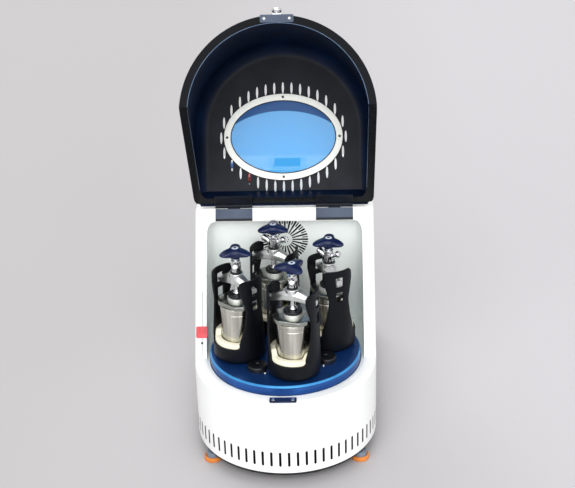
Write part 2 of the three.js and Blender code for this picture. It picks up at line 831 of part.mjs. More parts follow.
// Straight-sided gear teeth between root and tip, thinned for backlash
function gearOutline(teeth, pitchRadius, startAngle) {
  const addendum = pitchRadius * 2 / teeth;
  const tip = pitchRadius + addendum - gearBacklash;
  const root = pitchRadius - addendum - gearBacklash;
  const pitch = 2 * Math.PI / teeth;
  const rootHalf = pitch * toothRootShare;
  const tipHalf = pitch * toothTipShare;
  return Array.from({ length: teeth }, (_, i) => {
    const angle = startAngle + i * pitch;
    return [[root, -rootHalf], [tip, -tipHalf], [tip, tipHalf], [root, rootHalf]]
      .map(([radius, turn]) => [radius * Math.cos(angle + turn), radius * Math.sin(angle + turn)]);
  }).flat();
}

// Fixed sun wheel: a tooth points at each holder
function sunGear() {
  const low = wellTop + seatGap;
  const wheel = extrudeZ(gearOutline(sunTeeth, sunPitchRadius, firstHolderAngle), low, low + gearThickness + sunLift);
  return cut(wheel, disc(spigotRadius + seatGap, low - overrun, low + gearThickness + sunLift + overrun, mediumFacets));
}

// Planet wheel with the shaft that carries a holder; heights count from the turntable's top
function planetShaft() {
  const gearLow = wellTop + seatGap + sunLift - turntableTop;
  const collarTop = -turntableThickness - seatGap;
  const wheel = extrudeZ(gearOutline(planetTeeth, planetPitchRadius, Math.PI + Math.PI / planetTeeth),
    gearLow, gearLow + gearThickness);
  return join(wheel, lathe([
    [0, gearLow],
    [planetHubRadius, gearLow],
    [planetHubRadius, collarTop - planetCollarHeight],
    [planetCollarRadius, collarTop - planetCollarHeight],
    [planetCollarRadius, collarTop],
    [planetShaftRadius, collarTop],
    [planetShaftRadius, holderBase - seatGap],
    [0, holderBase - seatGap],
  ], smallFacets));
}

function motorPulley() {
  const top = pulleyBottom + pulleyWidth;
  const groove = motorPulleyRadius - pulleyGroove;
  return lathe([
    [0, pulleyBottom],
    [motorPulleyRadius, pulleyBottom],
    [motorPulleyRadius, pulleyBottom + pulleyLip],
    [groove, pulleyBottom + pulleyLip],
    [groove, top - pulleyLip],
    [motorPulleyRadius, top - pulleyLip],
    [motorPulleyRadius, top],
    [motorShaftRadius, top],
    [motorShaftRadius, top + pulleyWidth],
    [0, top + pulleyWidth],
  ], mediumFacets);
}

// Motor on a plate with four legs on the base plate; its shaft points down to the pulley
function driveMotor() {
  const plateLow = pulleyBottom + pulleyWidth + motorShaftRadius;
  const legFoot = basePlateTop + seatGap;
  const shaftTop = pulleyBottom + 2 * pulleyWidth + seatGap;
  let motor = join(
    block([-motorPlateHalf, motorPlateHalf], [motorBack - motorPlateHalf, motorBack + motorPlateHalf],
      [plateLow, plateLow + motorPlate]),
    disc(motorRadius, plateLow + motorPlate / 2, plateLow + motorHeight, mediumFacets, 0, motorBack),
  );
  for (const side of [-1, 1]) {
    for (const end of [-1, 1]) {
      const reach = motorPlateHalf - motorLegRadius;
      motor = join(motor, disc(motorLegRadius, legFoot, plateLow + motorPlate / 2, smallFacets,
        side * reach, motorBack + end * reach));
    }
  }
  return cut(motor, disc(motorShaftRadius + seatGap, plateLow - overrun, shaftTop, mediumFacets, 0, motorBack));
}

// Outline of a belt wrapped round both pulleys at a distance from their grooves
function beltOutline(offset) {
  const large = drivePulleyRadius - pulleyGroove + offset;
  const small = motorPulleyRadius - pulleyGroove + offset;
  const lean = Math.asin((large - small) / motorBack);
  return [
    ...arc(0, 0, large, Math.PI - lean, 2 * Math.PI + lean, smallFacets),
    ...arc(0, motorBack, small, lean, Math.PI - lean, smallFacets),
  ];
}

function driveBelt() {
  const low = pulleyBottom + pulleyLip + seatGap;
  const high = pulleyBottom + pulleyWidth - pulleyLip - seatGap;
  const facetSpare = drivePulleyRadius * (1 - Math.cos(Math.PI / smallFacets / 2)) + seatGap;
  return cut(extrudeZ(beltOutline(facetSpare + beltThickness), low, high),
    extrudeZ(beltOutline(facetSpare), low - overrun, high + overrun));
}

// Holder: a cup with two waisted arms, each with two windows, turned so that X runs across the arms
function holderFrame() {
  const inner = holderRadius - holderWall;
  const cup = lathe([
    [0, holderBase],
    [holderRadius - holderBaseEdge, holderBase],
    [holderRadius, holderBase + holderBaseEdge],
    [holderRadius, armFootHeight],
    [holderTopRadius, holderHeight],
    [holderTopRadius - holderWall, holderHeight],
    [inner, seatSideHeight + overrun],
    [inner, holderBase + holderFloor],
    [0, holderBase + holderFloor],
  ], mediumFacets);
  const bend = armFootHalfWidth - waistHalfWidth;
  const spread = armTopHalfWidth - waistHalfWidth;
  const rightEdge = [
    [2 * holderRadius, lipHeight],
    [armFootHalfWidth + armFootCorner, lipHeight],
    [armFootHalfWidth, lipHeight + armFootCorner],
    [armFootHalfWidth, armFootHeight],
    [waistHalfWidth + bend * waistShare, (armFootHeight + waistHeight) / 2],
    [waistHalfWidth, waistHeight],
    [waistHalfWidth + spread * shoulderShare, (waistHeight + armShoulderHeight) / 2],
    [armTopHalfWidth, armShoulderHeight],
    [armTopHalfWidth, holderHeight - armCornerRadius],
    [armTopHalfWidth - armCornerRadius * armCornerShare, holderHeight - armCornerRadius * armCornerShare],
    [armTopHalfWidth - armCornerRadius, holderHeight + overrun],
  ];
  const leftEdge = rightEdge.map(([y, z]) => [-y, z]).reverse();
  const keep = extrudeX([[-2 * holderRadius, -overrun], [2 * holderRadius, -overrun], ...rightEdge, ...leftEdge],
    -2 * holderRadius, 2 * holderRadius);
  const opening = (low, high) => block([-2 * holderRadius, 2 * holderRadius],
    [-windowWidth / 2, windowWidth / 2], [low, high]);
  return cut(common(cup, keep),
    opening(upperWindowLow, upperWindowHigh), opening(lowerWindowLow, lowerWindowHigh));
}

// Cream seat: a cup lining whose rim is lower at the front and back than under the arms
function jarSeat() {
  const cup = lathe([
    [0, seatBase],
    [seatRadius, seatBase],
    [seatRadius, seatSideHeight],
    [seatBore, seatSideHeight],
    [seatBore, seatBase + seatFloor],
    [0, seatBase + seatFloor],
  ], mediumFacets);
  const saddle = extrudeY([
    [-seatSaddleHalfWidth, seatFrontHeight + seatSaddleCorner],
    [seatSaddleCorner - seatSaddleHalfWidth, seatFrontHeight],
    [seatSaddleHalfWidth - seatSaddleCorner, seatFrontHeight],
    [seatSaddleHalfWidth, seatFrontHeight + seatSaddleCorner],
    [seatSaddleHalfWidth, seatSideHeight + overrun],
    [-seatSaddleHalfWidth, seatSideHeight + overrun],
  ], -2 * seatRadius, 2 * seatRadius);
  return cut(cup, saddle);
}

function jar() {
  const bore = jarRadius - jarWall;
  const band = jarTop - jarBandHeight;
  return lathe([
    [0, jarBase],
    [jarFootRadius - jarFootChamfer, jarBase],
    [jarFootRadius, jarBase + jarFootChamfer],
    [jarFootRadius, band - jarFootChamfer],
    [jarRadius, band],
    [jarRadius, jarTop],
    [bore, jarTop],
    [bore, jarBase + jarFloor],
    [0, jarBase + jarFloor],
  ], mediumFacets);
}

// Jar lid: a plate with cut corners, a plug below and a round boss on top
function jarLid() {
  const a = jarLidHalfLength;
  const b = jarLidHalfWidth;
  const c = jarLidCorner;
  const plate = extrudeZ([
    [a, b - c], [a - c, b], [c - a, b], [-a, b - c], [-a, c - b], [c - a, -b], [a - c, -b], [a, c - b],
  ], jarLidBase, jarLidBase + jarLidThickness);
  const bossLow = jarLidBase + jarLidThickness;
  const boss = lathe([
    [0, bossLow - jarLidThickness / 2],
    [jarBossRadius, bossLow - jarLidThickness / 2],
    [jarBossRadius, bossLow + jarBossHeight / 2],
    [jarBossRadius - jarBossTaper, jarBossTop],
    [0, jarBossTop],
  ], mediumFacets);
  const plug = disc(jarRadius - jarWall - seatGap, jarTop - jarPlugDepth, jarLidBase + jarLidThickness / 2,
    mediumFacets);
  return join(plate, boss, plug);
}

// Clamp bar: a round boss with two tapering wings that reach into the holder's upper windows
function clampBar() {
  const reach = holderTopRadius + (holderRadius - holderTopRadius) / 2 - barEndClearance;
  const wings = extrudeZ([
    [0, -barBossRadius], [barBossRadius, -barRootHalfWidth], [reach, -barEndHalfWidth],
    [reach, barEndHalfWidth], [barBossRadius, barRootHalfWidth], [0, barBossRadius],
    [-barBossRadius, barRootHalfWidth], [-reach, barEndHalfWidth],
    [-reach, -barEndHalfWidth], [-barBossRadius, -barRootHalfWidth],
  ], barWingLow, barWingHigh);
  const boss = disc(barBossRadius, barBossLow, barBossHigh, mediumFacets);
  return cut(join(wings, boss), disc(screwRadius + seatGap, 0, barBossHigh + overrun, mediumFacets));
}

// Clamp screw with its foot below and the three-lobed knob on top
function clampScrew(knobTurn) {
  const knobTop = knobBottom + knobHeight;
  const spindle = lathe([
    [0, footBase],
    [footRadius - footNeckHeight / 2, footBase],
    [footRadius, footBase + footNeckHeight / 2],
    [footRadius, footBase + footThickness],
    [footNeckRadius, footBase + footThickness + footNeckHeight],
    [screwRadius, footBase + footThickness + footNeckHeight],
    [screwRadius, knobBottom],
    [knobHubRadius - knobCrownRadius / 3, knobBottom],
    [knobHubRadius, knobLobeLow],
    [knobHubRadius, knobLobeHigh],
    [knobCrownRadius, knobTop],
    [0, knobTop],
  ], smallFacets);
  let screw = spindle;
  for (let i = 0; i < knobLobes; i += 1) {
    const angle = knobTurn + 2 * Math.PI * i / knobLobes;
    const lobe = new THREE.ExtrudeGeometry(outline([
      [0, -knobHubRadius],
      ...arc(knobReach, 0, knobTipRadius, -Math.PI / 2, Math.PI / 2, smallFacets / 2),
      [0, knobHubRadius],
    ]), { depth: knobLobeHigh - knobLobeLow, bevelEnabled: false });
    lobe.translate(0, 0, knobLobeLow).rotateZ(angle);
    screw = join(screw, solid(lobe));
  }
  return screw;
}

// Lock nut on the screw, a black collar below and two round grips that slant up and out
function lockNut(gripTurn) {
  const top = nutBase + nutCollarHeight + nutHeight;
  const bore = screwRadius + seatGap;
  const body = lathe([
    [bore, nutBase],
    [nutCollarRadius, nutBase],
    [nutCollarRadius, nutBase + nutCollarHeight],
    [nutRadius, nutBase + nutCollarHeight],
    [nutRadius, top],
    [bore, top],
  ], mediumFacets);
  const length = gripReach / Math.cos(gripSlant);
  const root = nutBase + gripHeight - gripReach * Math.tan(gripSlant);
  const grips = [0, Math.PI].map((side) => {
    const grip = new THREE.CylinderGeometry(gripRadius, gripRadius, length, smallFacets);
    grip.translate(0, length / 2, 0).rotateX(gripSlant).translate(0, 0, root);
    return solid(grip.rotateZ(gripTurn + side));
  });
  const below = disc(gripReach, nutBase - gripReach, nutBase + nutCollarHeight, mediumFacets);
  const through = disc(bore, nutBase - overrun, top + overrun, mediumFacets);
  return cut(join(body, ...grips.map((grip) => cut(grip, below))), through);
}

// Closed lid's outer form, drawn in by an inset; low is where the form starts
function lidForm(inset, low, rear) {
  const half = bodyHalfWidth - inset;
  const top = lidTop - inset;
  const fillet = lidFillet - inset;
  const corner = arc(half - fillet, top - fillet, fillet, 0, Math.PI / 2, filletFacets + 1);
  const mirrored = corner.map(([x, z]) => [-x, z]).reverse();
  const back = extrudeY([[-half, low], [half, low], ...corner, ...mirrored], 0, rear);
  const front = lathe([[0, low], [half, low], ...corner, [0, top]], bodyFacets);
  return join(back, common(front, block([-2 * half, 2 * half], [-2 * half, 0], [low - overrun, top + overrun])));
}

// Everything above the lid's rim line, lifted off it by a thickness
function aboveRim(thickness) {
  const rim = rimHeight + 2 * partingHalfGap + thickness;
  const offset = -partingHalfGap - thickness;
  const high = lidTop + overrun;
  const front = -2 * bodyHalfWidth;
  return extrudeX([[front, rim], [slopeY(rim, offset), rim], [slopeY(high, offset), high], [front, high]],
    -2 * bodyHalfWidth, 2 * bodyHalfWidth);
}

// Centres of the lid's slots: rows before and behind the window, three more at each side
function slotCentres() {
  const reachX = windowHalfWidth + lidSlotSideClearance;
  const reachY = windowHalfLength + lidSlotClearance;
  const centres = [];
  for (let i = 0; i < lidSlotCount; i += 1) {
    const x = (i - (lidSlotCount - 1) / 2) * lidSlotPitch;
    const y = reachY * Math.sqrt(1 - (x / reachX) ** 2);
    centres.push([x, y], [x, -y]);
  }
  for (const y of [-lidSideSlotPitch, 0, lidSideSlotPitch]) {
    const x = reachX * Math.sqrt(1 - (y / reachY) ** 2);
    centres.push([x, y], [-x, y]);
  }
  return centres;
}

function lidShell() {
  const low = rimHeight;
  const innerRear = hingeBack - lidWall;
  const outer = common(lidForm(0, low, hingeBack), aboveRim(0));
  const leanTop = openingRear - lidRearInset;
  const beforeRear = extrudeX([
    [-2 * bodyHalfWidth, low - overrun], [innerRear, low - overrun],
    [openingRear, slopePoint(rimFlangeWidth, 0)[1]], [leanTop, lidTop], [-2 * bodyHalfWidth, lidTop],
  ], -bodyHalfWidth, bodyHalfWidth);
  const inner = common(lidForm(lidWall, low - overrun, innerRear), beforeRear);
  const mouth = extrudeZ(frontRounded(bodyHalfWidth - lidRimWidth, openingRear, openingCornerRadius),
    low - overrun, lidTop);
  let shell = cut(outer, common(inner, aboveRim(lidWall)), common(inner, mouth));
  const plate = [lidTop - 2 * lidWall, lidTop + overrun];
  const paneHole = ellipse(windowHalfWidth - ringWidth - seatGap, windowHalfLength - ringWidth - seatGap,
    bodyFacets, windowCentreY);
  shell = cut(shell, extrudeZ(paneHole, plate[0], plate[1]));
  for (const [x, y] of slotCentres()) {
    const slot = extrudeZ(ellipse(lidSlotWidth / 2, lidSlotLength / 2, smallFacets), ...plate);
    shell = cut(shell, slot.translate([x, windowCentreY + y, 0]));
  }
  const notch = hingeRod(hingeNotchRadius, -bodyHalfWidth - overrun, bodyHalfWidth + overrun, smallFacets);
  const centre = [hingeBack - lidRearFillet, lidTop - lidRearFillet];
  const rearEdge = extrudeX([
    ...arc(centre[0], centre[1], lidRearFillet, 0, Math.PI / 2, filletFacets),
    [centre[0], lidTop + overrun], [hingeBack + overrun, lidTop + overrun], [hingeBack + overrun, centre[1]],
  ], -bodyHalfWidth, bodyHalfWidth);
  return cut(shell, notch, rearEdge);
}

// The pane lies under the lid's plate and the ring holds it from below
function windowPane() {
  const high = lidTop - lidWall - seatGap;
  const inner = ringWidth - paneOverlap;
  return extrudeZ(ellipse(windowHalfWidth - inner, windowHalfLength - inner, bodyFacets, windowCentreY),
    high - paneThickness, high);
}

function windowRing() {
  const high = lidTop - lidWall - seatGap;
  const low = high - ringThickness;
  const pocket = ringWidth - paneOverlap - seatGap;
  let ring = extrudeZ(ellipse(windowHalfWidth, windowHalfLength, bodyFacets, windowCentreY), low, high);
  ring = cut(ring,
    extrudeZ(ellipse(windowHalfWidth - ringWidth, windowHalfLength - ringWidth, bodyFacets, windowCentreY),
      low - overrun, high + overrun),
    extrudeZ(ellipse(windowHalfWidth - pocket, windowHalfLength - pocket, bodyFacets, windowCentreY),
      high - paneThickness - seatGap, high + overrun));
  const middleX = windowHalfWidth - ringWidth / 2;
  const middleY = windowHalfLength - ringWidth / 2;
  for (const [x, y] of [[middleX, 0], [-middleX, 0], [0, middleY], [0, -middleY]]) {
    ring = join(ring, disc(ringScrewRadius, low - ringLipThickness / 4, low + ringLipThickness / 4, smallFacets,
      x, windowCentreY + y));
  }
  return ring;
}

// Striker plate under the lid's front rim, bent up over the rim's edge to carry the ball
function lidCatch() {
  const rim = rimHeight + 2 * partingHalfGap - seatGap;
  const front = -bodyHalfWidth - seatGap;
  const plate = block([-catchWidth / 2, catchWidth / 2], [front, front + catchLength], [rim - catchThickness, rim]);
  const tab = block([-catchTabWidth / 2, catchTabWidth / 2], [front - catchThickness, front],
    [rim - catchThickness, rim + catchTabHeight]);
  const tipY = front - catchThickness - catchStemLength;
  const stemStart = front - catchThickness / 2;
  const stemEnd = tipY - catchBallDepth / 2;
  const stem = new THREE.CylinderGeometry(catchStemRadius, catchStemRadius, stemStart - stemEnd, smallFacets);
  const ball = new THREE.SphereGeometry(catchBallRadius, mediumFacets, smallFacets);
  ball.scale(1, catchBallDepth / catchBallRadius / 2, 1);
  const height = rim + catchTabHeight / 2;
  return join(plate, tab, solid(stem.translate(0, (stemStart + stemEnd) / 2, height)),
    solid(ball.translate(0, stemEnd, height)));
}

// Fixed pieces
addPiece(mill, 'housing_shell', housingShell(), paint.whiteEnamel);
addPiece(mill, 'chamber_liner', chamberLiner(), paint.whiteEnamel);
addPiece(mill, 'base_plate', basePlate(), paint.castIron);
addPiece(mill, 'bearing_housing', bearingHousing(), paint.castIron);
addPiece(mill, 'sun_gear', sunGear(), paint.steel);
addPiece(mill, 'drive_motor', driveMotor(), paint.castIron);
addPiece(mill, 'drive_belt', driveBelt(), paint.rubber);
addPiece(mill, 'latch_plate', latchPlate(), paint.greySteel);
addPiece(mill, 'interlock_sensor', interlockSensor(), paint.red);
addPiece(mill, 'display_panel', displayPanel(), paint.panel);
addPiece(mill, 'hinge_base_left', hingeBase(-hingeCentreX), paint.greySteel);
addPiece(mill, 'hinge_base_right', hingeBase(hingeCentreX), paint.greySteel);
const footPlaces = [
  [-footFrontX, footFrontY], [footFrontX, footFrontY],
  [-footFrontX, bodyRear - footRearInset], [footFrontX, bodyRear - footRearInset],
];
footPlaces.forEach(([x, y], i) => addPiece(addGroup(mill, x, y, 0), `foot_${i + 1}`, foot(), paint.orange));

// Pieces of the drive that turn
addPiece(mill, 'fan_rotor', fanRotor(), paint.blackPaint);
addPiece(mill, 'drive_shaft', driveShaft(), paint.steel);
addPiece(addGroup(mill, 0, motorBack, 0), 'motor_pulley', motorPulley(), paint.steel);
addPiece(addGroup(mill, stopX, stopY, deckHeight), 'stop_button',
  button(stopHeadRadius, stopHeadHeight, stopTravel), paint.red);
addPiece(addGroup(mill, powerX, powerY, deckHeight), 'power_button',
  button(powerHeadRadius, powerHeadHeight, powerTravel), paint.blueButton);

// Turntable with its four holders
const deck = addGroup(mill, 0, 0, turntableTop);
addPiece(deck, 'turntable', turntable(), paint.blueAnodised);
for (let i = 0; i < holderCount; i += 1) {
  const angle = firstHolderAngle + i * holderStep;
  const x = orbitRadius * Math.cos(angle);
  const y = orbitRadius * Math.sin(angle);
  const tag = i + 1;
  addPiece(addGroup(deck, x, y, 0, angle), `planet_shaft_${tag}`, planetShaft(), paint.steel);
  const holder = addGroup(deck, x, y, 0, holderTurns[i]);
  addPiece(holder, `holder_frame_${tag}`, holderFrame(), paint.blackPaint);
  addPiece(holder, `jar_seat_${tag}`, jarSeat(), paint.cream);
  addPiece(holder, `jar_${tag}`, jar(), paint.steel);
  addPiece(holder, `jar_lid_${tag}`, jarLid(), paint.steel);
  addPiece(holder, `clamp_bar_${tag}`, clampBar(), paint.aluminium);
  addPiece(holder, `clamp_screw_${tag}`, clampScrew(knobTurns[i]), paint.knobBlue);
  addPiece(holder, `lock_nut_${tag}`, lockNut(gripTurns[i]), paint.chrome);
}

// Lid, drawn closed and swung open about the hinge axis
const hinge = addGroup(mill, 0, hingeBack, hingeHeight);
hinge.rotation.x = -openAngle;
const lid = addGroup(hinge, 0, -hingeBack, -hingeHeight);
addPiece(lid, 'lid_shell', lidShell(), paint.blackGloss);
addPiece(lid, 'window_pane', windowPane(), paint.tintedPane);
addPiece(lid, 'window_ring', windowRing(), paint.whitePlastic);
addPiece(lid, 'lid_catch', lidCatch(), paint.chrome);
addPiece(lid, 'hinge_leaf_left', hingeLeaf(-hingeCentreX), paint.greySteel);
addPiece(lid, 'hinge_leaf_right', hingeLeaf(hingeCentreX), paint.greySteel);

export default mill;
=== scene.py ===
import math

import bmesh
import bpy
from mathutils import Matrix, Vector


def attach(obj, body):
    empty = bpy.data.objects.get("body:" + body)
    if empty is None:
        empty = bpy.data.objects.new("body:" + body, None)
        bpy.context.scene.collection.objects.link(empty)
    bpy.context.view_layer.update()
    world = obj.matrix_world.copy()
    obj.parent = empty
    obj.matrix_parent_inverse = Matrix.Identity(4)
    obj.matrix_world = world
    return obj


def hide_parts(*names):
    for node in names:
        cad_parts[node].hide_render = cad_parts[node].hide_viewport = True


# Planetary ball mill with its lid open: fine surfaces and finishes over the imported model.
# Pieces are drawn in millimetres round the turntable's axis and placed in metres.

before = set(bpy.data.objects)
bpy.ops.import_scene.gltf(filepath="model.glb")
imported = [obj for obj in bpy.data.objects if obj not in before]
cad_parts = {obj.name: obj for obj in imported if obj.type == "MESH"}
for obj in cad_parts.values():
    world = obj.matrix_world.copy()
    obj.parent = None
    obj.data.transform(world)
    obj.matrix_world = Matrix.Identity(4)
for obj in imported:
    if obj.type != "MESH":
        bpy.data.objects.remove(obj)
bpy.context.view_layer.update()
print("packed model loaded")

millimetre = 0.001


# Places, in millimetres and degrees

def at(x, y, z=0):
    return Matrix.Translation((x, y, z))


def turned(degrees, axis="Z"):
    return Matrix.Rotation(math.radians(degrees), 4, axis)


def toMetres(matrix):
    return Matrix.Translation(matrix.to_translation() * millimetre) @ matrix.to_3x3().to_4x4()


def polar(radius, degrees):
    turn = math.radians(degrees)
    return (radius * math.cos(turn), radius * math.sin(turn))


def makeObject(name, data, place):
    obj = bpy.data.objects.new(name, data)
    bpy.context.scene.collection.objects.link(obj)
    obj.matrix_world = place
    return obj


# Where the turntable's axis stands in the frame
machinePlace = toMetres(at(0, -178.5))


# Camera

camera = {"azimuth": 2.2, "elevation": 24.9, "roll": -1.68, "distance": 3190.83,
          "target": (9.76, 100.0, 506.79), "lens": 77.478, "sensor": 36.0}


def placeCamera(azimuth, elevation, roll, distance, target, lens, sensor):
    data = bpy.data.cameras.new("camera")
    data.lens = lens
    data.sensor_width = sensor
    data.sensor_fit = "HORIZONTAL"
    data.clip_end = 60
    aim = turned(azimuth) @ turned(90 - elevation, "X") @ turned(roll)
    spot = toMetres(at(*target) @ aim @ at(0, 0, distance))
    bpy.context.scene.camera = makeObject("camera", data, machinePlace @ spot)


placeCamera(**camera)
print("camera placed")


# Colours and nodes

# The wave shader's scale for marks one millimetre apart
waveScale = 314.0


def toLinear(code, alpha=1.0):
    channels = [int(code[i:i + 2], 16) / 255 for i in (0, 2, 4)]
    linear = [c / 12.92 if c <= 0.04045 else ((c + 0.055) / 1.055) ** 2.4 for c in channels]
    return (*linear, alpha)


def addNode(tree, kind, values=None, links=None, **settings):
    node = tree.nodes.new("ShaderNode" + kind)
    for key, value in settings.items():
        setattr(node, key, value)
    for key, value in (values or {}).items():
        node.inputs[key].default_value = value
    for key, socket in (links or {}).items():
        tree.links.new(socket, node.inputs[key])
    return node


# A material with its tree, its shader and the spot on the piece that textures start from
def newMaterial(name, values):
    material = bpy.data.materials.new(name)
    material.use_nodes = True
    tree = material.node_tree
    shader = tree.nodes["Principled BSDF"]
    for key, value in values.items():
        shader.inputs[key].default_value = value
    return material, tree, shader, addNode(tree, "TexCoord").outputs["Object"]


# Soft patches of two near colours, that many millimetres across
def mottle(tree, shader, spot, light, dark, size, low=0.35, roughness=0.55):
    noise = addNode(tree, "TexNoise", {"Scale": 1000 / size, "Detail": 3.0, "Roughness": roughness},
                    {"Vector": spot})
    ramp = addNode(tree, "ValToRGB", links={"Fac": noise.outputs["Fac"]})
    for stop, position, code in zip(ramp.color_ramp.elements, (low, 1 - low), (dark, light)):
        stop.position = position
        stop.color = toLinear(code)
    tree.links.new(ramp.outputs["Color"], shader.inputs["Base Color"])


# Roughness that wanders between two values, and a fine bump of the same grain
def grain(tree, shader, spot, low, high, size, strength, depth):
    noise = addNode(tree, "TexNoise", {"Scale": 1000 / size, "Detail": 2.0}, {"Vector": spot})
    spread = addNode(tree, "MapRange", {"From Min": 0.3, "From Max": 0.7, "To Min": low, "To Max": high},
                     {"Value": noise.outputs["Fac"]})
    tree.links.new(spread.outputs["Result"], shader.inputs["Roughness"])
    bump = addNode(tree, "Bump", {"Strength": strength, "Distance": depth * millimetre},
                   {"Height": noise.outputs["Fac"]})
    tree.links.new(bump.outputs["Normal"], shader.inputs["Normal"])


# Turning marks about the piece's own Z axis: bands up its walls, or rings on its flat faces
def turningMarks(tree, shader, spot, kind, pitch, strength, depth):
    wave = addNode(tree, "TexWave", {"Scale": waveScale / pitch, "Distortion": 0.6, "Detail": 1.0},
                   {"Vector": spot}, wave_type=kind, bands_direction="Z", rings_direction="Z")
    bump = addNode(tree, "Bump", {"Strength": strength, "Distance": depth * millimetre},
                   {"Height": wave.outputs["Fac"]})
    tree.links.new(bump.outputs["Normal"], shader.inputs["Normal"])


# White stoving enamel on sheet steel: smooth, with a faint orange peel and a soft gloss
def whiteEnamel(name, light, dark):
    material, *nodes = newMaterial(name, {"IOR": 1.5, "Coat Weight": 0.25, "Coat Roughness": 0.15})
    mottle(*nodes, light, dark, 160)
    grain(*nodes, 0.3, 0.38, 3, 0.06, 0.1)
    return material


# Black lacquer: deep and even, its gloss softened by the lacquer's fine ripple
def blackLacquer(name, light, dark, low, high):
    material, *nodes = newMaterial(name, {"IOR": 1.5, "Specular IOR Level": 0.08})
    mottle(*nodes, light, dark, 120)
    grain(*nodes, low, high, 2.2, 0.08, 0.12)
    return material


# Powder coat or machine paint on steel: satin with a fine pebble, drawn a little coarse so that it shows
def powderCoat(name, light, dark, low=0.38, high=0.5, gloss=0.5):
    material, *nodes = newMaterial(name, {"IOR": 1.5, "Specular IOR Level": gloss})
    mottle(*nodes, light, dark, 60)
    grain(*nodes, low, high, 1.1, 0.25, 0.12)
    return material


# Moulded plastic: even colour, a slight sheen and a soft mould texture
def mouldedPlastic(name, light, dark, low, high, coat=0.0):
    material, *nodes = newMaterial(name, {"IOR": 1.46, "Coat Weight": coat, "Coat Roughness": 0.1})
    mottle(*nodes, light, dark, 30)
    grain(*nodes, low, high, 1.6, 0.08, 0.08)
    return material


# Cast, ground or plated metal: a bright satin skin, its grain drawn coarser than a real one so that it shows
def satinMetal(name, light, dark, low, high):
    material, *nodes = newMaterial(name, {"Metallic": 1.0})
    mottle(*nodes, light, dark, 40)
    grain(*nodes, low, high, 0.9, 0.1, 0.08)
    return material


# Rubber and soft plastic: dull, dark or bright orange, with a moulded grain
def rubber(name, light, dark):
    material, *nodes = newMaterial(name, {"IOR": 1.52})
    mottle(*nodes, light, dark, 20)
    grain(*nodes, 0.6, 0.75, 0.8, 0.2, 0.1)
    return material


# Turned metal: bright, with long soft light and dark streaks along its axis that are painted reflections.
# Its turning marks are a tenth of a millimetre apart in reality and are drawn as coarse as they need to be to
# show
def turnedMetalPaintedStreaks(name, light, dark, roughness, strength):
    material, tree, shader, spot = newMaterial(name, {
        "Metallic": 1.0, "Roughness": roughness, "Anisotropic": 0.7, "Anisotropic Rotation": 0.25})
    around = addNode(tree, "Tangent", direction_type="RADIAL", axis="Z")
    tree.links.new(around.outputs["Tangent"], shader.inputs["Tangent"])
    streakStretch = addNode(tree, "Mapping", {"Scale": (1.0, 1.0, 0.06)}, {"Vector": spot})
    # The stretched mottle paints the reflection streaks
    mottle(tree, shader, streakStretch.outputs["Vector"], light, dark, 16, low=0.3, roughness=0.5)
    turningMarks(tree, shader, spot, "BANDS", 3.2, strength, 0.15)
    return material


# Turned aluminium, anodised blue: a deep colour with a metal's shine. Its rings are drawn coarse too
def anodised(name, light, dark, metallic, roughness):
    material, *nodes = newMaterial(name, {"Metallic": metallic, "Roughness": roughness})
    mottle(*nodes, light, dark, 90)
    turningMarks(*nodes, "RINGS", 3.6, 0.05, 0.1)
    return material


# The pane is clear inside an ellipse, in millimetres, and in the crescent left along its front edge it is
# painted darker and less clear as shade
tint = {"light": "34B8FF", "band": "35609C", "centre": 52.0, "halfA": 175.0, "halfB": 108.0,
        "clear": 0.52, "shadedAlpha": 0.86}


# Acrylic pane tinted blue: see-through, and painted darker and less clear as shade in the crescent
def tintedAcrylic(name, light, band, centre, halfA, halfB, clear, shadedAlpha):
    material, tree, shader, spot = newMaterial(name, {
        "IOR": 1.49, "Roughness": 0.08, "Specular IOR Level": 0.1})
    shift = addNode(tree, "Mapping", {"Location": (0, -centre / halfB, 0),
                                      "Scale": (1000 / halfA, 1000 / halfB, 0)}, {"Vector": spot})
    length = addNode(tree, "VectorMath", links={0: shift.outputs["Vector"]}, operation="LENGTH")
    ramp = addNode(tree, "ValToRGB", links={"Fac": length.outputs["Value"]})
    ramp.color_ramp.elements[0].position = 0.985
    ramp.color_ramp.elements[0].color = toLinear(light, clear)
    # band is the crescent's colour of painted shade
    ramp.color_ramp.elements[1].color = toLinear(band, shadedAlpha)
    tree.links.new(ramp.outputs["Color"], shader.inputs["Base Color"])
    tree.links.new(ramp.outputs["Alpha"], shader.inputs["Alpha"])
    return material


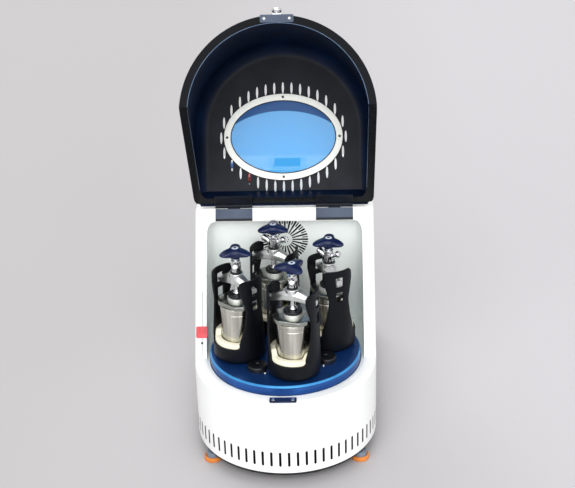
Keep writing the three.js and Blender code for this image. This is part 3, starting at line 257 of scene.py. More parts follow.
looks = {
    "housing": whiteEnamel("white stoving enamel", "FBFCFB", "F5F7F6"),
    "liner": whiteEnamel("white liner enamel", "FAFFFC", "F4FBF8"),
    "lidSkin": blackLacquer("black gloss lacquer", "0A0C12", "07090D", 0.2, 0.3),
    # The lid's hollow is black lacquer; its navy cast is a painted reflection
    "lidInsideReflection": blackLacquer("black inner lacquer with painted blue reflection", "0C1C36", "081326", 0.3, 0.42),
    "lidPlate": powderCoat("black grained coat", "1A1E27", "12151C", 0.45, 0.58, gloss=0.2),
    "slate": powderCoat("slate grey coat", "4B576C", "414C60", 0.35, 0.45, gloss=0.3),
    "darkStrip": rubber("black strip", "11151C", "0B0E13"),
    "deepBlue": anodised("blue anodised aluminium", "1A4688", "143A75", 0.55, 0.3),
    # The turntable's bevel is a painted highlight and its rim a painted lit side of the same anodised blue
    "bevelHighlightBlue": anodised("blue anodised edge with painted highlight", "409CDA", "3088CA", 0.35, 0.3),
    "rimLitBlue": anodised("blue anodised rim painted lighter as lit", "2558A2", "1D4A8E", 0.5, 0.3),
    "holder": powderCoat("black powder coat", "0B0E14", "080A0F", gloss=0.18),
    "seat": mouldedPlastic("cream cast nylon", "FBF7E2", "F3EED6", 0.4, 0.5),
    "jar": turnedMetalPaintedStreaks("turned stainless steel with painted reflection streaks", "E6E4DA", "96948A", 0.24, 0.02),
    # The jar lid's plate is painted greyer as shade and its boss bright as a highlight
    "jarPlate": satinMetal("ground steel plate", "B4B8B1", "989C95", 0.22, 0.32),
    "groundSteelHighlight": satinMetal("ground stainless steel painted bright as a highlight", "F6F7F4", "EDEEEA", 0.46, 0.56),
    "bar": satinMetal("satin cast aluminium", "E4E8E6", "D2D7D5", 0.28, 0.4),
    "chrome": satinMetal("chrome plate", "E6E7E8", "D5D7D9", 0.08, 0.14),
    "blackPart": mouldedPlastic("black moulded nylon", "12151B", "0C0E12", 0.3, 0.4),
    "knob": mouldedPlastic("dark blue moulded nylon", "081C4C", "06163E", 0.3, 0.4),
    # The knob's pale cap is a painted highlight
    "knobHighlightCap": mouldedPlastic("knob cap painted pale as a highlight", "DDE6F2", "C8D3E4", 0.3, 0.4, coat=0.3),
    "ring": mouldedPlastic("white moulded frame", "FCFDF8", "F4F7F0", 0.35, 0.45),
    "pane": tintedAcrylic("blue tinted acrylic", **tint),
    # A painted highlight along the lid rim's inner edge
    "edgeHighlight": satinMetal("painted edge highlight", "55667B", "46566A", 0.25, 0.35),
    "red": mouldedPlastic("red moulded plastic", "E0525A", "CF4048", 0.35, 0.45),
    "stopRed": mouldedPlastic("red button plastic", "CC2A2A", "B82020", 0.25, 0.32, coat=0.4),
    "startBlue": mouldedPlastic("blue button plastic", "2D78C8", "2268B4", 0.25, 0.32, coat=0.4),
    "orange": rubber("orange foot rubber", "E58A3A", "D67B2C"),
    "cup": powderCoat("grey foot cup", "7C8694", "687280"),
    "latch": powderCoat("navy latch plate", "1B2A52", "142044", 0.25, 0.35),
    "wire": mouldedPlastic("grey wire cover", "B9C0C6", "A9B0B6", 0.4, 0.5),
    "film": mouldedPlastic("panel film", "DCE6EE", "CBD7E2", 0.25, 0.32, coat=0.3),
    "screen": mouldedPlastic("dark display", "20344C", "162639", 0.1, 0.16, coat=0.5),
    "castPaint": powderCoat("grey machine paint", "565D64", "474D53", 0.5, 0.62),
    # Black painted shade inside the housing and behind the grille
    "paintedShadeBlack": powderCoat("black painted shade inside the housing", "0A0B0D", "060708", 0.55, 0.65, gloss=0.15),
    "darkPaint": powderCoat("dark base paint", "17191D", "101216", 0.5, 0.6),
    "gearSteel": turnedMetalPaintedStreaks("ground gear steel", "B4B4B2", "9C9C9A", 0.3, 0.15),
    "beltRubber": rubber("black belt rubber", "1A1A1A", "121212"),
    "fan": mouldedPlastic("black fan plastic", "16181B", "101214", 0.45, 0.55),
}
print("finishes made")


# Shapes: each is drawn in millimetres and made as a mesh in metres

# Cutters reach this far, or this much past what they cut
far = 700.0
past = 40.0
# Pieces that lie on each other keep this much air between them
clearance = 0.3
cornerSteps = 8
sides = ((-1, "Left"), (1, "Right"))


def toMesh(name, bm):
    mesh = bpy.data.meshes.new(name)
    bm.to_mesh(mesh)
    bm.free()
    return mesh


def newBmesh(points, faces):
    bm = bmesh.new()
    corners = [bm.verts.new(Vector(point) * millimetre) for point in points]
    for face in faces:
        bm.faces.new([corners[i] for i in face])
    bmesh.ops.recalc_face_normals(bm, faces=bm.faces)
    return bm


def arc(radius, start, sweep, steps):
    return [polar(radius, start + sweep * k / steps) for k in range(steps + 1)]


def ellipse(halfA, halfB, steps, centreB=0):
    return [(halfA * x, centreB + halfB * y) for x, y in arc(1, 0, 360, steps)[:-1]]


# Rounds each corner of a closed or open outline by its own or a common radius
def rounded(points, radius=0, steps=4, closed=True):
    result = []
    count = len(points)
    for i, point in enumerate(points):
        here = Vector(point[:2])
        size = point[2] if len(point) > 2 else radius
        if size <= 0 or (not closed and i in (0, count - 1)):
            result.append(tuple(here))
            continue
        before = Vector(points[i - 1][:2]) - here
        after = Vector(points[(i + 1) % count][:2]) - here
        angle = before.angle(after)
        reach = min(size / math.tan(angle / 2), before.length * 0.49, after.length * 0.49)
        size = reach * math.tan(angle / 2)
        inward = (before.normalized() + after.normalized()).normalized()
        middle = here + inward * (size / math.sin(angle / 2))
        a = here + before.normalized() * reach - middle
        b = here + after.normalized() * reach - middle
        sweep = a.angle(b) if a.length > 1e-9 and b.length > 1e-9 else 0
        side = 1 if a.x * b.y - a.y * b.x > 0 else -1
        for k in range(steps + 1):
            turn = side * sweep * k / steps
            result.append((middle.x + a.x * math.cos(turn) - a.y * math.sin(turn),
                           middle.y + a.x * math.sin(turn) + a.y * math.cos(turn)))
    return result


# Turns a profile of radii and heights round Z; wobble lifts a point by its turn and height
def revolve(profile, steps=96, wobble=None):
    points = []
    rings = []
    for radius, height in profile:
        first = len(points)
        if radius < 1e-6:
            points.append((0, 0, height))
        else:
            for k in range(steps):
                turn = 2 * math.pi * k / steps
                lift = wobble(turn, height) if wobble else 0
                points.append((radius * math.cos(turn), radius * math.sin(turn), height + lift))
        rings.append(range(first, len(points)))
    pairs = list(zip(rings, rings[1:]))
    if len(rings[0]) > 1 and len(rings[-1]) > 1:
        pairs.append((rings[-1], rings[0]))
    faces = []
    for low, high in pairs:
        for k in range(steps):
            n = k + 1
            corners = (low[k % len(low)], low[n % len(low)], high[n % len(high)], high[k % len(high)])
            corners = tuple(dict.fromkeys(corners))
            if len(corners) > 2:
                faces.append(corners)
    return newBmesh(points, faces)


# A revolved profile whose corners are rounded by the third number of each point
def lathe(points, corner=4, steps=64, closed=False):
    return revolve(rounded(points, 0, corner, closed), steps)


def drum(radius, low, high):
    return revolve([(0, low), (radius, low), (radius, high), (0, high)])


# A skin through rings that have the same number of points, capped at its ends or closed into a loop
def loft(rings, loop=False):
    count = len(rings[0])
    points = [point for ring in rings for point in ring]
    total = len(points)
    faces = [] if loop else [tuple(range(count)), tuple(range(total - 1, total - count - 1, -1))]
    for a in range(0, total if loop else total - count, count):
        b = (a + count) % total
        faces += [(a + k, a + (k + 1) % count, b + (k + 1) % count, b + k) for k in range(count)]
    return newBmesh(points, faces)


def prism(outline, low, high, axis="Z", edge=0):
    count = len(outline)
    order = {"X": (2, 0, 1), "Y": (0, 2, 1), "Z": (0, 1, 2)}[axis]
    points = [[(a, b, h)[i] for i in order] for h in (low, high) for a, b in outline]
    faces = [tuple(range(count)), tuple(range(2 * count - 1, count - 1, -1))]
    faces += [(k, (k + 1) % count, (k + 1) % count + count, k + count) for k in range(count)]
    bm = newBmesh(points, faces)
    if edge > 0:
        caps = {bm.faces[:][0], bm.faces[:][1]}
        rims = [e for e in bm.edges if any(f in caps for f in e.link_faces)]
        bmesh.ops.bevel(bm, geom=rims, offset=edge * millimetre, segments=3, profile=0.5, affect="EDGES",
                        clamp_overlap=False)
    return bm


# A plate with rounded corners; each side is given by half its length or by its two ends
def slab(a, b, corner, low, high, axis="Z", edge=0):
    (left, right), (front, rear) = [side if isinstance(side, tuple) else (-side, side) for side in (a, b)]
    outline = rounded([(left, front), (right, front), (right, rear), (left, rear)], corner)
    return prism(outline, low, high, axis, edge)


def rod(radius, low, high, axis="Z", steps=32, edge=0):
    return prism(ellipse(radius, radius, steps), low, high, axis, edge)


def slotOutline(middle, width, length):
    half = width / 2
    straight = length / 2 - half
    return [(x, middle + side * straight + y) for side, start in ((1, 0), (-1, 180))
            for x, y in arc(half, start, 180, 5)]


# The D-shaped plan: a half round front and straight sides back to the rear
def roundedFront(radius, rear, corner, steps=72):
    points = arc(radius, 180, 180, steps)
    for side, start in ((1, 0), (-1, 90)):
        points += [(side * (radius - corner) + x, rear - corner + y)
                   for x, y in arc(corner, start, 90, cornerSteps)]
    return points


def gather(parts):
    joined = bmesh.new()
    for part in parts:
        mesh = toMesh("part", part)
        joined.from_mesh(mesh)
        bpy.data.meshes.remove(mesh)
    return joined


def moved(bm, matrix):
    bmesh.ops.transform(bm, matrix=toMetres(matrix), verts=bm.verts)
    return bm


# Cuts the second closed shape out of the first, joins them or keeps what they share
def carve(first, second, operation="DIFFERENCE"):
    pair = [makeObject("carving", toMesh("carving", bm), Matrix.Identity(4)) for bm in (first, second)]
    modifier = pair[0].modifiers.new("carve", "BOOLEAN")
    modifier.operation = operation
    modifier.solver = "MANIFOLD"
    modifier.object = pair[1]
    bpy.context.view_layer.update()
    result = bmesh.new()
    result.from_mesh(pair[0].evaluated_get(bpy.context.evaluated_depsgraph_get()).data)
    for obj in pair:
        mesh = obj.data
        bpy.data.objects.remove(obj)
        bpy.data.meshes.remove(mesh)
    if len(result.faces) == 0 or any(len(e.link_faces) != 2 for e in result.edges):
        raise RuntimeError("a carving is empty or isn't closed")
    result.normal_update()
    return result


# Gives a mesh its looks; choose says which one a face has from its middle in millimetres and its normal
def dress(mesh, names, choose=None, smooth=35):
    for name in names:
        mesh.materials.append(looks[name])
    if choose:
        for face in mesh.polygons:
            face.material_index = int(choose(face.center / millimetre, face.normal))
    mesh.shade_smooth()
    mesh.set_sharp_from_angle(angle=math.radians(smooth))
    return mesh


# Puts a shape or a dressed mesh in the scene on its body, in the place of a CAD node where one is named
def place(name, shape, body, slot, look, node=None, matrix=Matrix.Identity(4), soften=0, smooth=35):
    mesh = toMesh(name, shape) if isinstance(shape, bmesh.types.BMesh) else shape
    if not mesh.materials:
        dress(mesh, [look], smooth=smooth)
    obj = makeObject(name, mesh, machinePlace @ toMetres(matrix))
    if soften > 0:
        bevel = obj.modifiers.new("softened edges", "BEVEL")
        bevel.width = soften * millimetre
        bevel.segments = 2
        bevel.limit_method = "ANGLE"
        bevel.angle_limit = math.radians(40)
        bevel.harden_normals = False
    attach(obj, body)
    if node:
        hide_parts(node)
    return obj


# The line where housing and lid part runs level along the rim, then slopes up from its foot to the hinges
hingeY = 195.0
hingeZ = 575.0
footY = -16.0
rimZ = 236.0
gap = 3.25
slope = math.atan2(hingeZ - rimZ - gap, hingeY - footY)
hingeAxis = at(0, hingeY, hingeZ)
slopePlace = hingeAxis @ Matrix.Rotation(slope, 4, "X")
openAngle = 117.0
lidPlace = hingeAxis @ turned(-openAngle, "X") @ hingeAxis.inverted()


# Where the slope, moved down by an offset, passes a height
def slopeY(height, offset):
    return hingeY + (height - hingeZ) / math.tan(slope) + offset / math.sin(slope)


def slopeSpot(x, along, lift):
    return slopePlace @ at(x, -along, lift)


# Housing

housing = {
    "halfWidth": 235.0, "rear": 592.0, "bottom": 32.0, "deck": 568.0, "edge": 12.0, "rearCorner": 30.0,
    "wall": 3.0, "flange": 31.0, "mouthCorner": 22.0,
    "vents": 32, "ventStep": 5.4, "ventWidth": 6.2, "ventLow": 51.0, "ventHigh": 93.0,
}
halfWidth = housing["halfWidth"]
deckZ = housing["deck"]
mouthRear = hingeY - housing["flange"] * math.cos(slope)
mouthTop = hingeZ - housing["flange"] * math.sin(slope)


def mouthPlan(margin):
    return roundedFront(halfWidth - margin, mouthRear, housing["mouthCorner"])


# Side view of the room under the parting line, drawn in by an inset
def sideUnder(inset, front, rear, low):
    deck = deckZ - inset
    rim = rimZ - inset
    offset = gap + inset
    return [(front, low), (rear, low), (rear, deck), (slopeY(deck, offset), deck), (slopeY(rim, offset), rim),
            (front, rim)]


# The underside, the slope's foot and the edge at the hinges stay sharp, all other edges are rounded
def housingForm(inset, low, edge):
    half = halfWidth - inset
    rear = housing["rear"] - inset
    deck = deckZ - inset
    rim = rimZ - inset
    foot = slopeY(rim, gap + inset)
    plan = prism(roundedFront(half, rear, housing["rearCorner"] - inset), low - 1, deck + past)
    side = sideUnder(inset, -half - past, rear + past, low)
    bm = carve(prism(side, -half - past / 2, half + past / 2, "X"), plan, "INTERSECT")
    bmesh.ops.dissolve_limit(bm, angle_limit=math.radians(0.5), verts=bm.verts, edges=bm.edges)
    chosen = []
    for e in bm.edges:
        if len(e.link_faces) != 2 or e.calc_face_angle(0) < math.radians(30):
            continue
        start, end = [v.co / millimetre for v in e.verts]
        middle = (start + end) / 2
        across = abs(start.x - end.x) > 100
        onFoot = across and abs(middle.y - foot) < 2 and abs(middle.z - rim) < 2
        onHinge = across and abs(middle.z - deck) < 1 and middle.y < rear * 0.6
        if middle.z > 100 and not onFoot and not onHinge:
            chosen.append(e)
    bmesh.ops.bevel(bm, geom=chosen, offset=edge * millimetre, segments=6, profile=0.5, affect="EDGES",
                    clamp_overlap=False)
    return bm


def makeHousing():
    wall = housing["wall"]
    bottom = housing["bottom"]
    rear = housing["rear"]
    ventLow = housing["ventLow"]
    ventHigh = housing["ventHigh"]
    hollow = housingForm(wall, bottom - 10, housing["edge"] - wall)
    shell = carve(housingForm(0, bottom, housing["edge"]), hollow)
    shell = carve(shell, prism(mouthPlan(housing["flange"]), rimZ - 6, far))
    outline = slotOutline((ventLow + ventHigh) / 2, housing["ventWidth"], ventHigh - ventLow)
    cutters = []
    for i in range(housing["vents"]):
        slot = prism(outline, -halfWidth - 3, -halfWidth + 6, "Y")
        cutters.append(moved(slot, turned((i - (housing["vents"] - 1) / 2) * housing["ventStep"])))
    shell = toMesh("housingShell", carve(shell, gather(cutters)))

    # The inside of the shell, its underside and the walls of the vents are painted black as shade
    def isPaintedShade(spot, normal):
        x, y, z = spot
        depth = min(halfWidth - (math.hypot(x, y) if y < 0 else abs(x)), rear - y)
        inVent = ventLow - 1 < z < ventHigh + 1 and 0.4 < depth < wall
        facesIn = normal.x * x + normal.y * (y if y < 0 else y - rear / 2) < 0
        return inVent or (facesIn and wall - 0.2 < depth < wall + 0.8) or normal.z < -0.3

    dress(shell, ("housing", "paintedShadeBlack"), isPaintedShade)
    place("housingShell", shell, "housing", "white_enamel", "housing", "housing_shell", soften=0.5)


makeHousing()
print("housing made")


# Chamber liner with the fan grille in its back wall

chamber = {
    "radius": 204.0, "back": 204.0, "wall": 3.0, "corner": 19.0, "floorTop": 232.7, "floor": 4.0,
    "wellRadius": 196.5, "wellDepth": 46.0, "spigotHole": 26.3,
    "grilleZ": 472.0, "grilleRadius": 61.0, "grilleHub": 19.0, "slots": 24, "slotInner": 3.2,
    "slotOuter": 5.4, "dashLength": 15.0, "dots": 8, "dotRing": 9.0, "dotRadius": 1.5,
    "boss": 8.0, "bossDepth": 6.0, "pin": 4.0, "fanDepth": 20.0,
}


def makeLiner():
    c = chamber
    wall = c["wall"]
    back = c["back"]
    floorTop = c["floorTop"]
    low = floorTop - c["floor"]
    wellTop = floorTop - c["wellDepth"]
    grille = at(0, 0, c["grilleZ"])
    outer = prism(roundedFront(c["radius"] + wall, back + wall, c["corner"] + wall), low, far)
    side = sideUnder(housing["wall"] + clearance, -far, far, low - 5)
    liner = carve(outer, prism(side, -far, far, "X"), "INTERSECT")
    liner = carve(liner, prism(roundedFront(c["radius"], back, c["corner"]), floorTop, far))
    liner = carve(liner, drum(c["wellRadius"] + wall, wellTop - c["floor"], low + 2), "UNION")
    liner = carve(liner, drum(c["wellRadius"], wellTop, floorTop + 5))
    liner = carve(liner, drum(c["spigotHole"], wellTop - 20, wellTop + 20))
    cutters = []
    end = c["grilleRadius"]
    narrow = c["slotInner"]
    for i in range(c["slots"]):
        for share, start, wide in ((0, c["grilleHub"], c["slotOuter"]), (0.5, end - c["dashLength"], narrow)):
            corners = [(-narrow / 2, start), (narrow / 2, start), (wide / 2, end), (-wide / 2, end)]
            bar = prism(rounded(corners, narrow / 2), back - 3, back + 6, "Y")
            cutters.append(moved(bar, grille @ turned(360 * (i + share) / c["slots"], "Y")))
    for x, z in arc(c["dotRing"], 0, 360, c["dots"])[:-1]:
        cutters.append(moved(rod(c["dotRadius"], back - 3, back + wall / 2, "Y", 12), grille @ at(x, 0, z)))
    liner = carve(liner, gather(cutters))
    bossEnd = back + wall + c["bossDepth"]
    liner = carve(liner, moved(rod(c["boss"], back + wall / 2 + 0.4, bossEnd, "Y", 24), grille), "UNION")
    pin = rod(c["pin"], bossEnd - 1, bossEnd + c["fanDepth"] + clearance, "Y", 24)
    liner = toMesh("chamberLiner", carve(liner, moved(pin, grille), "UNION"))

    # Behind the grille the liner's back is painted black as shade
    def isPaintedShade(spot, normal):
        return spot.y > back + 0.05 and math.hypot(spot.x, spot.z - c["grilleZ"]) < end + 1

    dress(liner, ("liner", "paintedShadeBlack"), isPaintedShade)
    place("chamberLiner", liner, "housing", "liner_white", "liner", "chamber_liner", soften=0.3)


makeLiner()
print("chamber made")


# Feet, latch plate, switch block and the pieces on the rear deck

# A socket screw's head by its radius, its height and the radius of its socket
def screwHead(radius, height, socket):
    return lathe([(0, 0), (radius, 0), (radius, height, radius * 0.3), (socket, height),
                  (socket, height * 0.4), (0, height * 0.4)], 3, 24)


foot = {"ring": 23.0, "ringHeight": 12.0, "cup": 16.0, "top": 23.4, "frontX": 190.0, "frontY": -121.0,
        "rearY": 532.0}


def makeFeet(ring, ringHeight, cup, top, frontX, frontY, rearY):
    for i in range(4):
        spot = at(frontX if i % 2 else -frontX, frontY if i < 2 else rearY)
        pad = lathe([(0, 0), (ring, 0, 2), (ring, ringHeight, 5), (cup + 2, ringHeight, 1),
                     (cup + 2, ringHeight - 3), (0, ringHeight - 3)])
        place(f"footPad{i + 1}", pad, "housing", "foot_orange", "orange", f"foot_{i + 1}", spot)
        cone = lathe([(0, ringHeight - 2), (cup + 1.6, ringHeight - 2), (cup, top, 1), (0, top)], 3)
        place(f"footCup{i + 1}", cone, "housing", "foot_orange", "cup", None, spot)


latch = {"width": 66.0, "length": 22.0, "thickness": 2.5, "front": -233.0, "screwX": 24.0,
         "screw": (5.0, 0.9, 2.2)}


def makeLatch(width, length, thickness, front, screwX, screw):
    spot = at(0, front + length / 2, rimZ + clearance)
    plate = slab(width / 2, length / 2, 3, 0, thickness, edge=0.6)
    place("latchPlate", plate, "housing", "latch_steel", "latch", "latch_plate", spot)
    for side, tag in sides:
        place(f"latchScrew{tag}", screwHead(*screw), "housing", "latch_steel", "chrome", None,
              spot @ at(side * screwX, 0, thickness - 0.2))


sensor = {"left": -231.0, "size": 30.0, "along": 316.0, "lift": 5.2, "wire": 2.0, "above": 92.0,
          "below": 48.0, "clipAlong": 359.0, "clipRadius": 3.0}


def makeSensor(left, size, along, lift, wire, above, below, clipAlong, clipRadius):
    base = clearance - gap
    x = left + size / 2
    block = slab(size / 2, size / 2, 2.5, 0, lift, edge=1)
    place("switchBlock", block, "housing", "sensor_red", "red", "interlock_sensor",
          slopeSpot(x, along + size / 2, base))
    end = along + size
    for name, start, stop in (("wireAbove", along - above, along - 1), ("wireBelow", end + 1, end + below)):
        strip = slab(wire / 2, (stop - start) / 2, 0.9, 0, 1.2, edge=0.4)
        place(name, strip, "housing", "sensor_red", "wire", None, slopeSpot(x, (start + stop) / 2, base))
    clip = lathe([(0, 0), (clipRadius, 0), (clipRadius, 2.4, 1.6), (0, 2.4)], 4, 24)
    place("wireClip", clip, "housing", "sensor_red", "blackPart", None, slopeSpot(x, clipAlong, base))


panel = {"size": 104.0, "corner": 6.0, "thickness": 4.0, "centreY": 506.0, "screenWidth": 75.0,
         "screenLength": 66.0, "screenShift": 8.0, "keys": 5, "keyPitch": 17.0, "keyWidth": 12.0,
         "keyLength": 7.0, "keyLow": -44.0}


def makePanel():
    p = panel
    spot = at(0, p["centreY"], deckZ + clearance)
    top = p["thickness"]
    halfW = p["screenWidth"] / 2
    low = p["screenShift"] - p["screenLength"] / 2
    high = p["screenShift"] + p["screenLength"] / 2
    plate = slab(p["size"] / 2, p["size"] / 2, p["corner"], 0, top, edge=0.8)
    plate = carve(plate, slab(halfW, (low, high), 2, top - 1, top + 5))
    place("panelPlate", plate, "housing", "panel_film", "film", "display_panel", spot)
    glass = slab(halfW - 0.4, (low + 0.4, high - 0.4), 1.8, top - 0.9, top - 0.3)
    place("panelScreen", glass, "housing", "panel_film", "screen", None, spot)
    for i in range(p["keys"]):
        x = (i - (p["keys"] - 1) / 2) * p["keyPitch"]
        across = (x - p["keyWidth"] / 2, x + p["keyWidth"] / 2)
        along = (p["keyLow"], p["keyLow"] + p["keyLength"])
        key = slab(across, along, 2, top - 0.3, top + 0.5, edge=0.3)
        place(f"panelKey{i + 1}", key, "housing", "panel_film", "wire", None, spot)


buttons = {
    "stop": {"x": -104.0, "y": 386.0, "head": 16.0, "height": 12.0, "travel": 5.0, "look": "stopRed",
             "slot": "button_red"},
    "power": {"x": -163.0, "y": 495.0, "head": 12.0, "height": 8.0, "travel": 3.0, "look": "startBlue",
              "slot": "button_blue"},
}


def makeButton(name, x, y, head, height, travel, look, slot, stem=8, stemLow=-24):
    rest = travel + 1
    top = rest + height
    button = lathe([(0, stemLow), (stem, stemLow, 1), (stem, rest), (head, rest, 1), (head, top, 4),
                    (head * 0.6, top, 1), (head * 0.55, top - 0.8, 1), (0, top - 0.8)], 5)
    place(f"{name}Button", button, name, slot, look, f"{name}_button", at(x, y, deckZ))
    collar = lathe([(stem + 0.6, 0.1), (head + 3, 0.1, 0.3), (head + 2, 0.9, 0.4), (stem + 0.6, 0.9)], 3,
                   closed=True)
    place(f"{name}Collar", collar, "housing", "latch_steel", "chrome", None, at(x, y, deckZ))


makeFeet(**foot)
makeLatch(**latch)
makeSensor(**sensor)
makePanel()
for name, values in buttons.items():
    makeButton(name, **values)
print("small pieces made")


# Hinges: a leaf on the housing and a leaf on the lid, each with its knuckles on the axis

hinges = {"centreX": 132.0, "width": 97.0, "length": 40.0, "barrel": 5.5, "pin": 2.5, "notch": 7.5,
          "knuckle": 32.0, "strip": 6.0}


def slopePlate(x, along, lift, edge=0.5):
    return moved(slab(x, (-along[1], -along[0]), 1, *lift, edge=edge), slopePlace)


def hingeRod(radius, low, high):
    return moved(rod(radius, low, high, "X", edge=min(0.6, radius * 0.2)), hingeAxis)


def makeHinges(centreX, width, length, barrel, pin, notch, knuckle, strip):
    below = (clearance - gap, -clearance / 2)
    above = (clearance / 2, gap - clearance)

    def isKnuckle(spot, normal):
        return math.hypot(spot.y - hingeY, spot.z - hingeZ) < notch + 1.5

    for side, tag in ((-1, "left"), (1, "right")):
        x = side * centreX
        whole = (x - width / 2, x + width / 2)
        middle = (x - knuckle / 2, x + knuckle / 2)
        leaf = slopePlate(whole, (notch, length - strip), below)
        leaf = carve(leaf, slopePlate(middle, (0.5, notch + 3), below, 0), "UNION")
        leaf = carve(leaf, hingeRod(barrel, *middle), "UNION")
        leaf = toMesh(f"hingeBase_{tag}", carve(leaf, hingeRod(pin, *whole), "UNION"))
        dress(leaf, ("slate", "lidPlate"), isKnuckle)
        place(f"hingeBase_{tag}", leaf, "housing", "hinge_steel", "slate", f"hinge_base_{tag}")
        # A dark band along the lower edge of the housing's leaf
        darkBand = slopePlate(whole, (length - strip, length), below)
        place(f"hingeStrip_{tag}", darkBand, "housing", "hinge_steel", "darkStrip")
        leaf = slopePlate(whole, (notch, length), above)
        for end in (-1, 1):
            ends = tuple(sorted((x + end * (knuckle / 2 + 0.5), x + end * width / 2)))
            leaf = carve(leaf, slopePlate(ends, (0.5, notch + 3), above, 0), "UNION")
            leaf = carve(leaf, hingeRod(barrel, *ends), "UNION")
        leaf = carve(leaf, hingeRod(pin + clearance, whole[0] - 3, whole[1] + 3))
        place(f"hingeLeaf_{tag}", leaf, "lid", "hinge_steel", "lidPlate", f"hinge_leaf_{tag}", lidPlace)


makeHinges(**hinges)
print("hinges made")


# Lid, drawn closed and placed open

lid = {
    "top": 591.0, "wall": 4.0, "fillet": 40.0, "rim": 20.0, "rearFillet": 9.0, "rearLean": 26.0,
    "windowA": 156.5, "windowB": 114.0, "windowY": 14.0, "ring": 17.0, "ringHigh": 586.7, "ringThick": 7.0,
    "pane": 4.0, "paneLap": 8.0, "ringScrew": (3.4, 1.8, 1.6),
    "slotLength": 31.0, "slotWidth": 6.0, "slotPitch": 22.8, "slotEach": 6, "slotReachA": 164.5,
    "slotReachB": 131.0, "sidePitch": 40.0, "highlightWidth": 1.2, "highlightHeight": 0.9,
}
lidTop = lid["top"]
windowY = lid["windowY"]


def lidForm(inset, low, rear):
    fillet = lid["fillet"] - inset
    flat = lidTop - lid["fillet"]
    rings = [(0, low)] + [(fillet - x, flat + y) for x, y in arc(fillet, 0, 90, 12)]
    return loft([[(x, y, z) for x, y in roundedFront(halfWidth - inset - depth, rear, 0.5, 96)]
                 for depth, z in rings])


# What lies above the lid's rim, that far from the parting line
def aboveRim(thickness):
    rim = rimZ + 2 * gap + thickness
    offset = -gap - thickness
    side = [(-far, rim), (slopeY(rim, offset), rim), (slopeY(far, offset), far), (-far, far)]
    return prism(side, -far, far, "X")


# Middles of the short slots round the window: rows before and behind it, and a few at each side
def slotSpots():
    spots = []
    for i in range(-lid["slotEach"], lid["slotEach"] + 1):
        x = i * lid["slotPitch"]
        y = lid["slotReachB"] * math.sqrt(1 - (x / lid["slotReachA"]) ** 2)
        spots += [(x, y), (x, -y)]
    for y in (-lid["sidePitch"], 0, lid["sidePitch"]):
        x = lid["slotReachA"] * math.sqrt(1 - (y / lid["slotReachB"]) ** 2)
        spots += [(x, y), (-x, y)]
    return spots


def makeLid():
    wall = lid["wall"]
    low = rimZ - 10
    fillet = lid["rearFillet"]
    outer = carve(lidForm(0, low, hingeY), aboveRim(0), "INTERSECT")
    rearEdge = [(hingeY - fillet + x, lidTop - fillet + y) for x, y in arc(fillet, 0, 90, 8)]
    rearEdge += [(rearEdge[-1][0], far), (far, far), (far, rearEdge[0][1])]
    outer = carve(outer, prism(rearEdge, -far, far, "X"))
    innerRear = hingeY - wall
    beforeRear = [(-far, 0), (innerRear, 0), (mouthRear, mouthTop), (mouthRear - lid["rearLean"], lidTop),
                  (-far, lidTop)]
    inner = carve(lidForm(wall, low - 20, innerRear), prism(beforeRear, -far, far, "X"), "INTERSECT")
    shell = carve(outer, carve(inner.copy(), aboveRim(wall), "INTERSECT"))
    shell = carve(shell, carve(inner, prism(mouthPlan(lid["rim"]), 0, lidTop), "INTERSECT"))
    margin = lid["ring"] + clearance
    window = ellipse(lid["windowA"] - margin, lid["windowB"] - margin, 128, windowY)
    cutters = [prism(window, lidTop - 8, lidTop + 3)]
    for x, y in slotSpots():
        lens = prism(ellipse(lid["slotWidth"] / 2, lid["slotLength"] / 2, 24), lidTop - 8, lidTop + 3)
        cutters.append(moved(lens, at(x, windowY + y)))
    shell = carve(shell, gather(cutters))
    shell = toMesh("lidShell", carve(shell, hingeRod(hinges["notch"], -far, far)))
    hollowMiddle = Vector((0, 0, 420))

    # The skin and the rim are glossy, the hollow is black with a painted navy reflection, and the plate round
    # the window is grained
    def lidLook(spot, normal):
        onRim = normal.z < -0.3 and spot.z < lidTop - 50
        if normal.dot(spot - hollowMiddle) >= 0 or onRim:
            return 0
        return 2 if normal.z < -0.98 and spot.z > lidTop - 6 else 1

    dress(shell, ("lidSkin", "lidInsideReflection", "lidPlate"), lidLook)
    place("lidShell", shell, "lid", "lid_black", "lidSkin", "lid_shell", lidPlace, soften=1.0)


# A thin strip painted bright as a highlight on the rim along the lid's mouth, from one hinge round the front
# to the other
def makeEdgeHighlight():
    plan = mouthPlan(lid["rim"])
    path = [plan[-1]] + plan[:-2 * cornerSteps - 1]
    drop = lid["highlightHeight"]

    def rimHeight(y):
        onSlope = hingeZ + (y - hingeY) * math.tan(slope) + gap / math.cos(slope)
        return max(rimZ + 2 * gap, onSlope)

    rings = []
    for x, y in path:
        outward = Vector((x, min(y, 0))).normalized() * lid["highlightWidth"]
        outer = (x + outward.x, y + outward.y)
        inZ = rimHeight(y)
        outZ = rimHeight(outer[1])
        rings.append([(x, y, inZ + 0.2), (*outer, outZ + 0.2), (*outer, outZ - drop), (x, y, inZ - drop)])
    place("lidEdgeHighlight", loft(rings), "lid", "lid_black", "edgeHighlight", None, lidPlace)


def ellipseFrame(margin, width, low, high, corner, steps=128):
    outerA = lid["windowA"] - margin
    outerB = lid["windowB"] - margin
    section = rounded([(0, low), (width, low), (width, high), (0, high)], corner)
    rings = []
    for x, y in arc(1, 0, 360, steps)[:-1]:
        spot = Vector((outerA * x, outerB * y + windowY))
        outward = Vector((x / outerA, y / outerB)).normalized()
        rings.append([(*(spot - outward * depth), height) for depth, height in section])
    return loft(rings, loop=True)


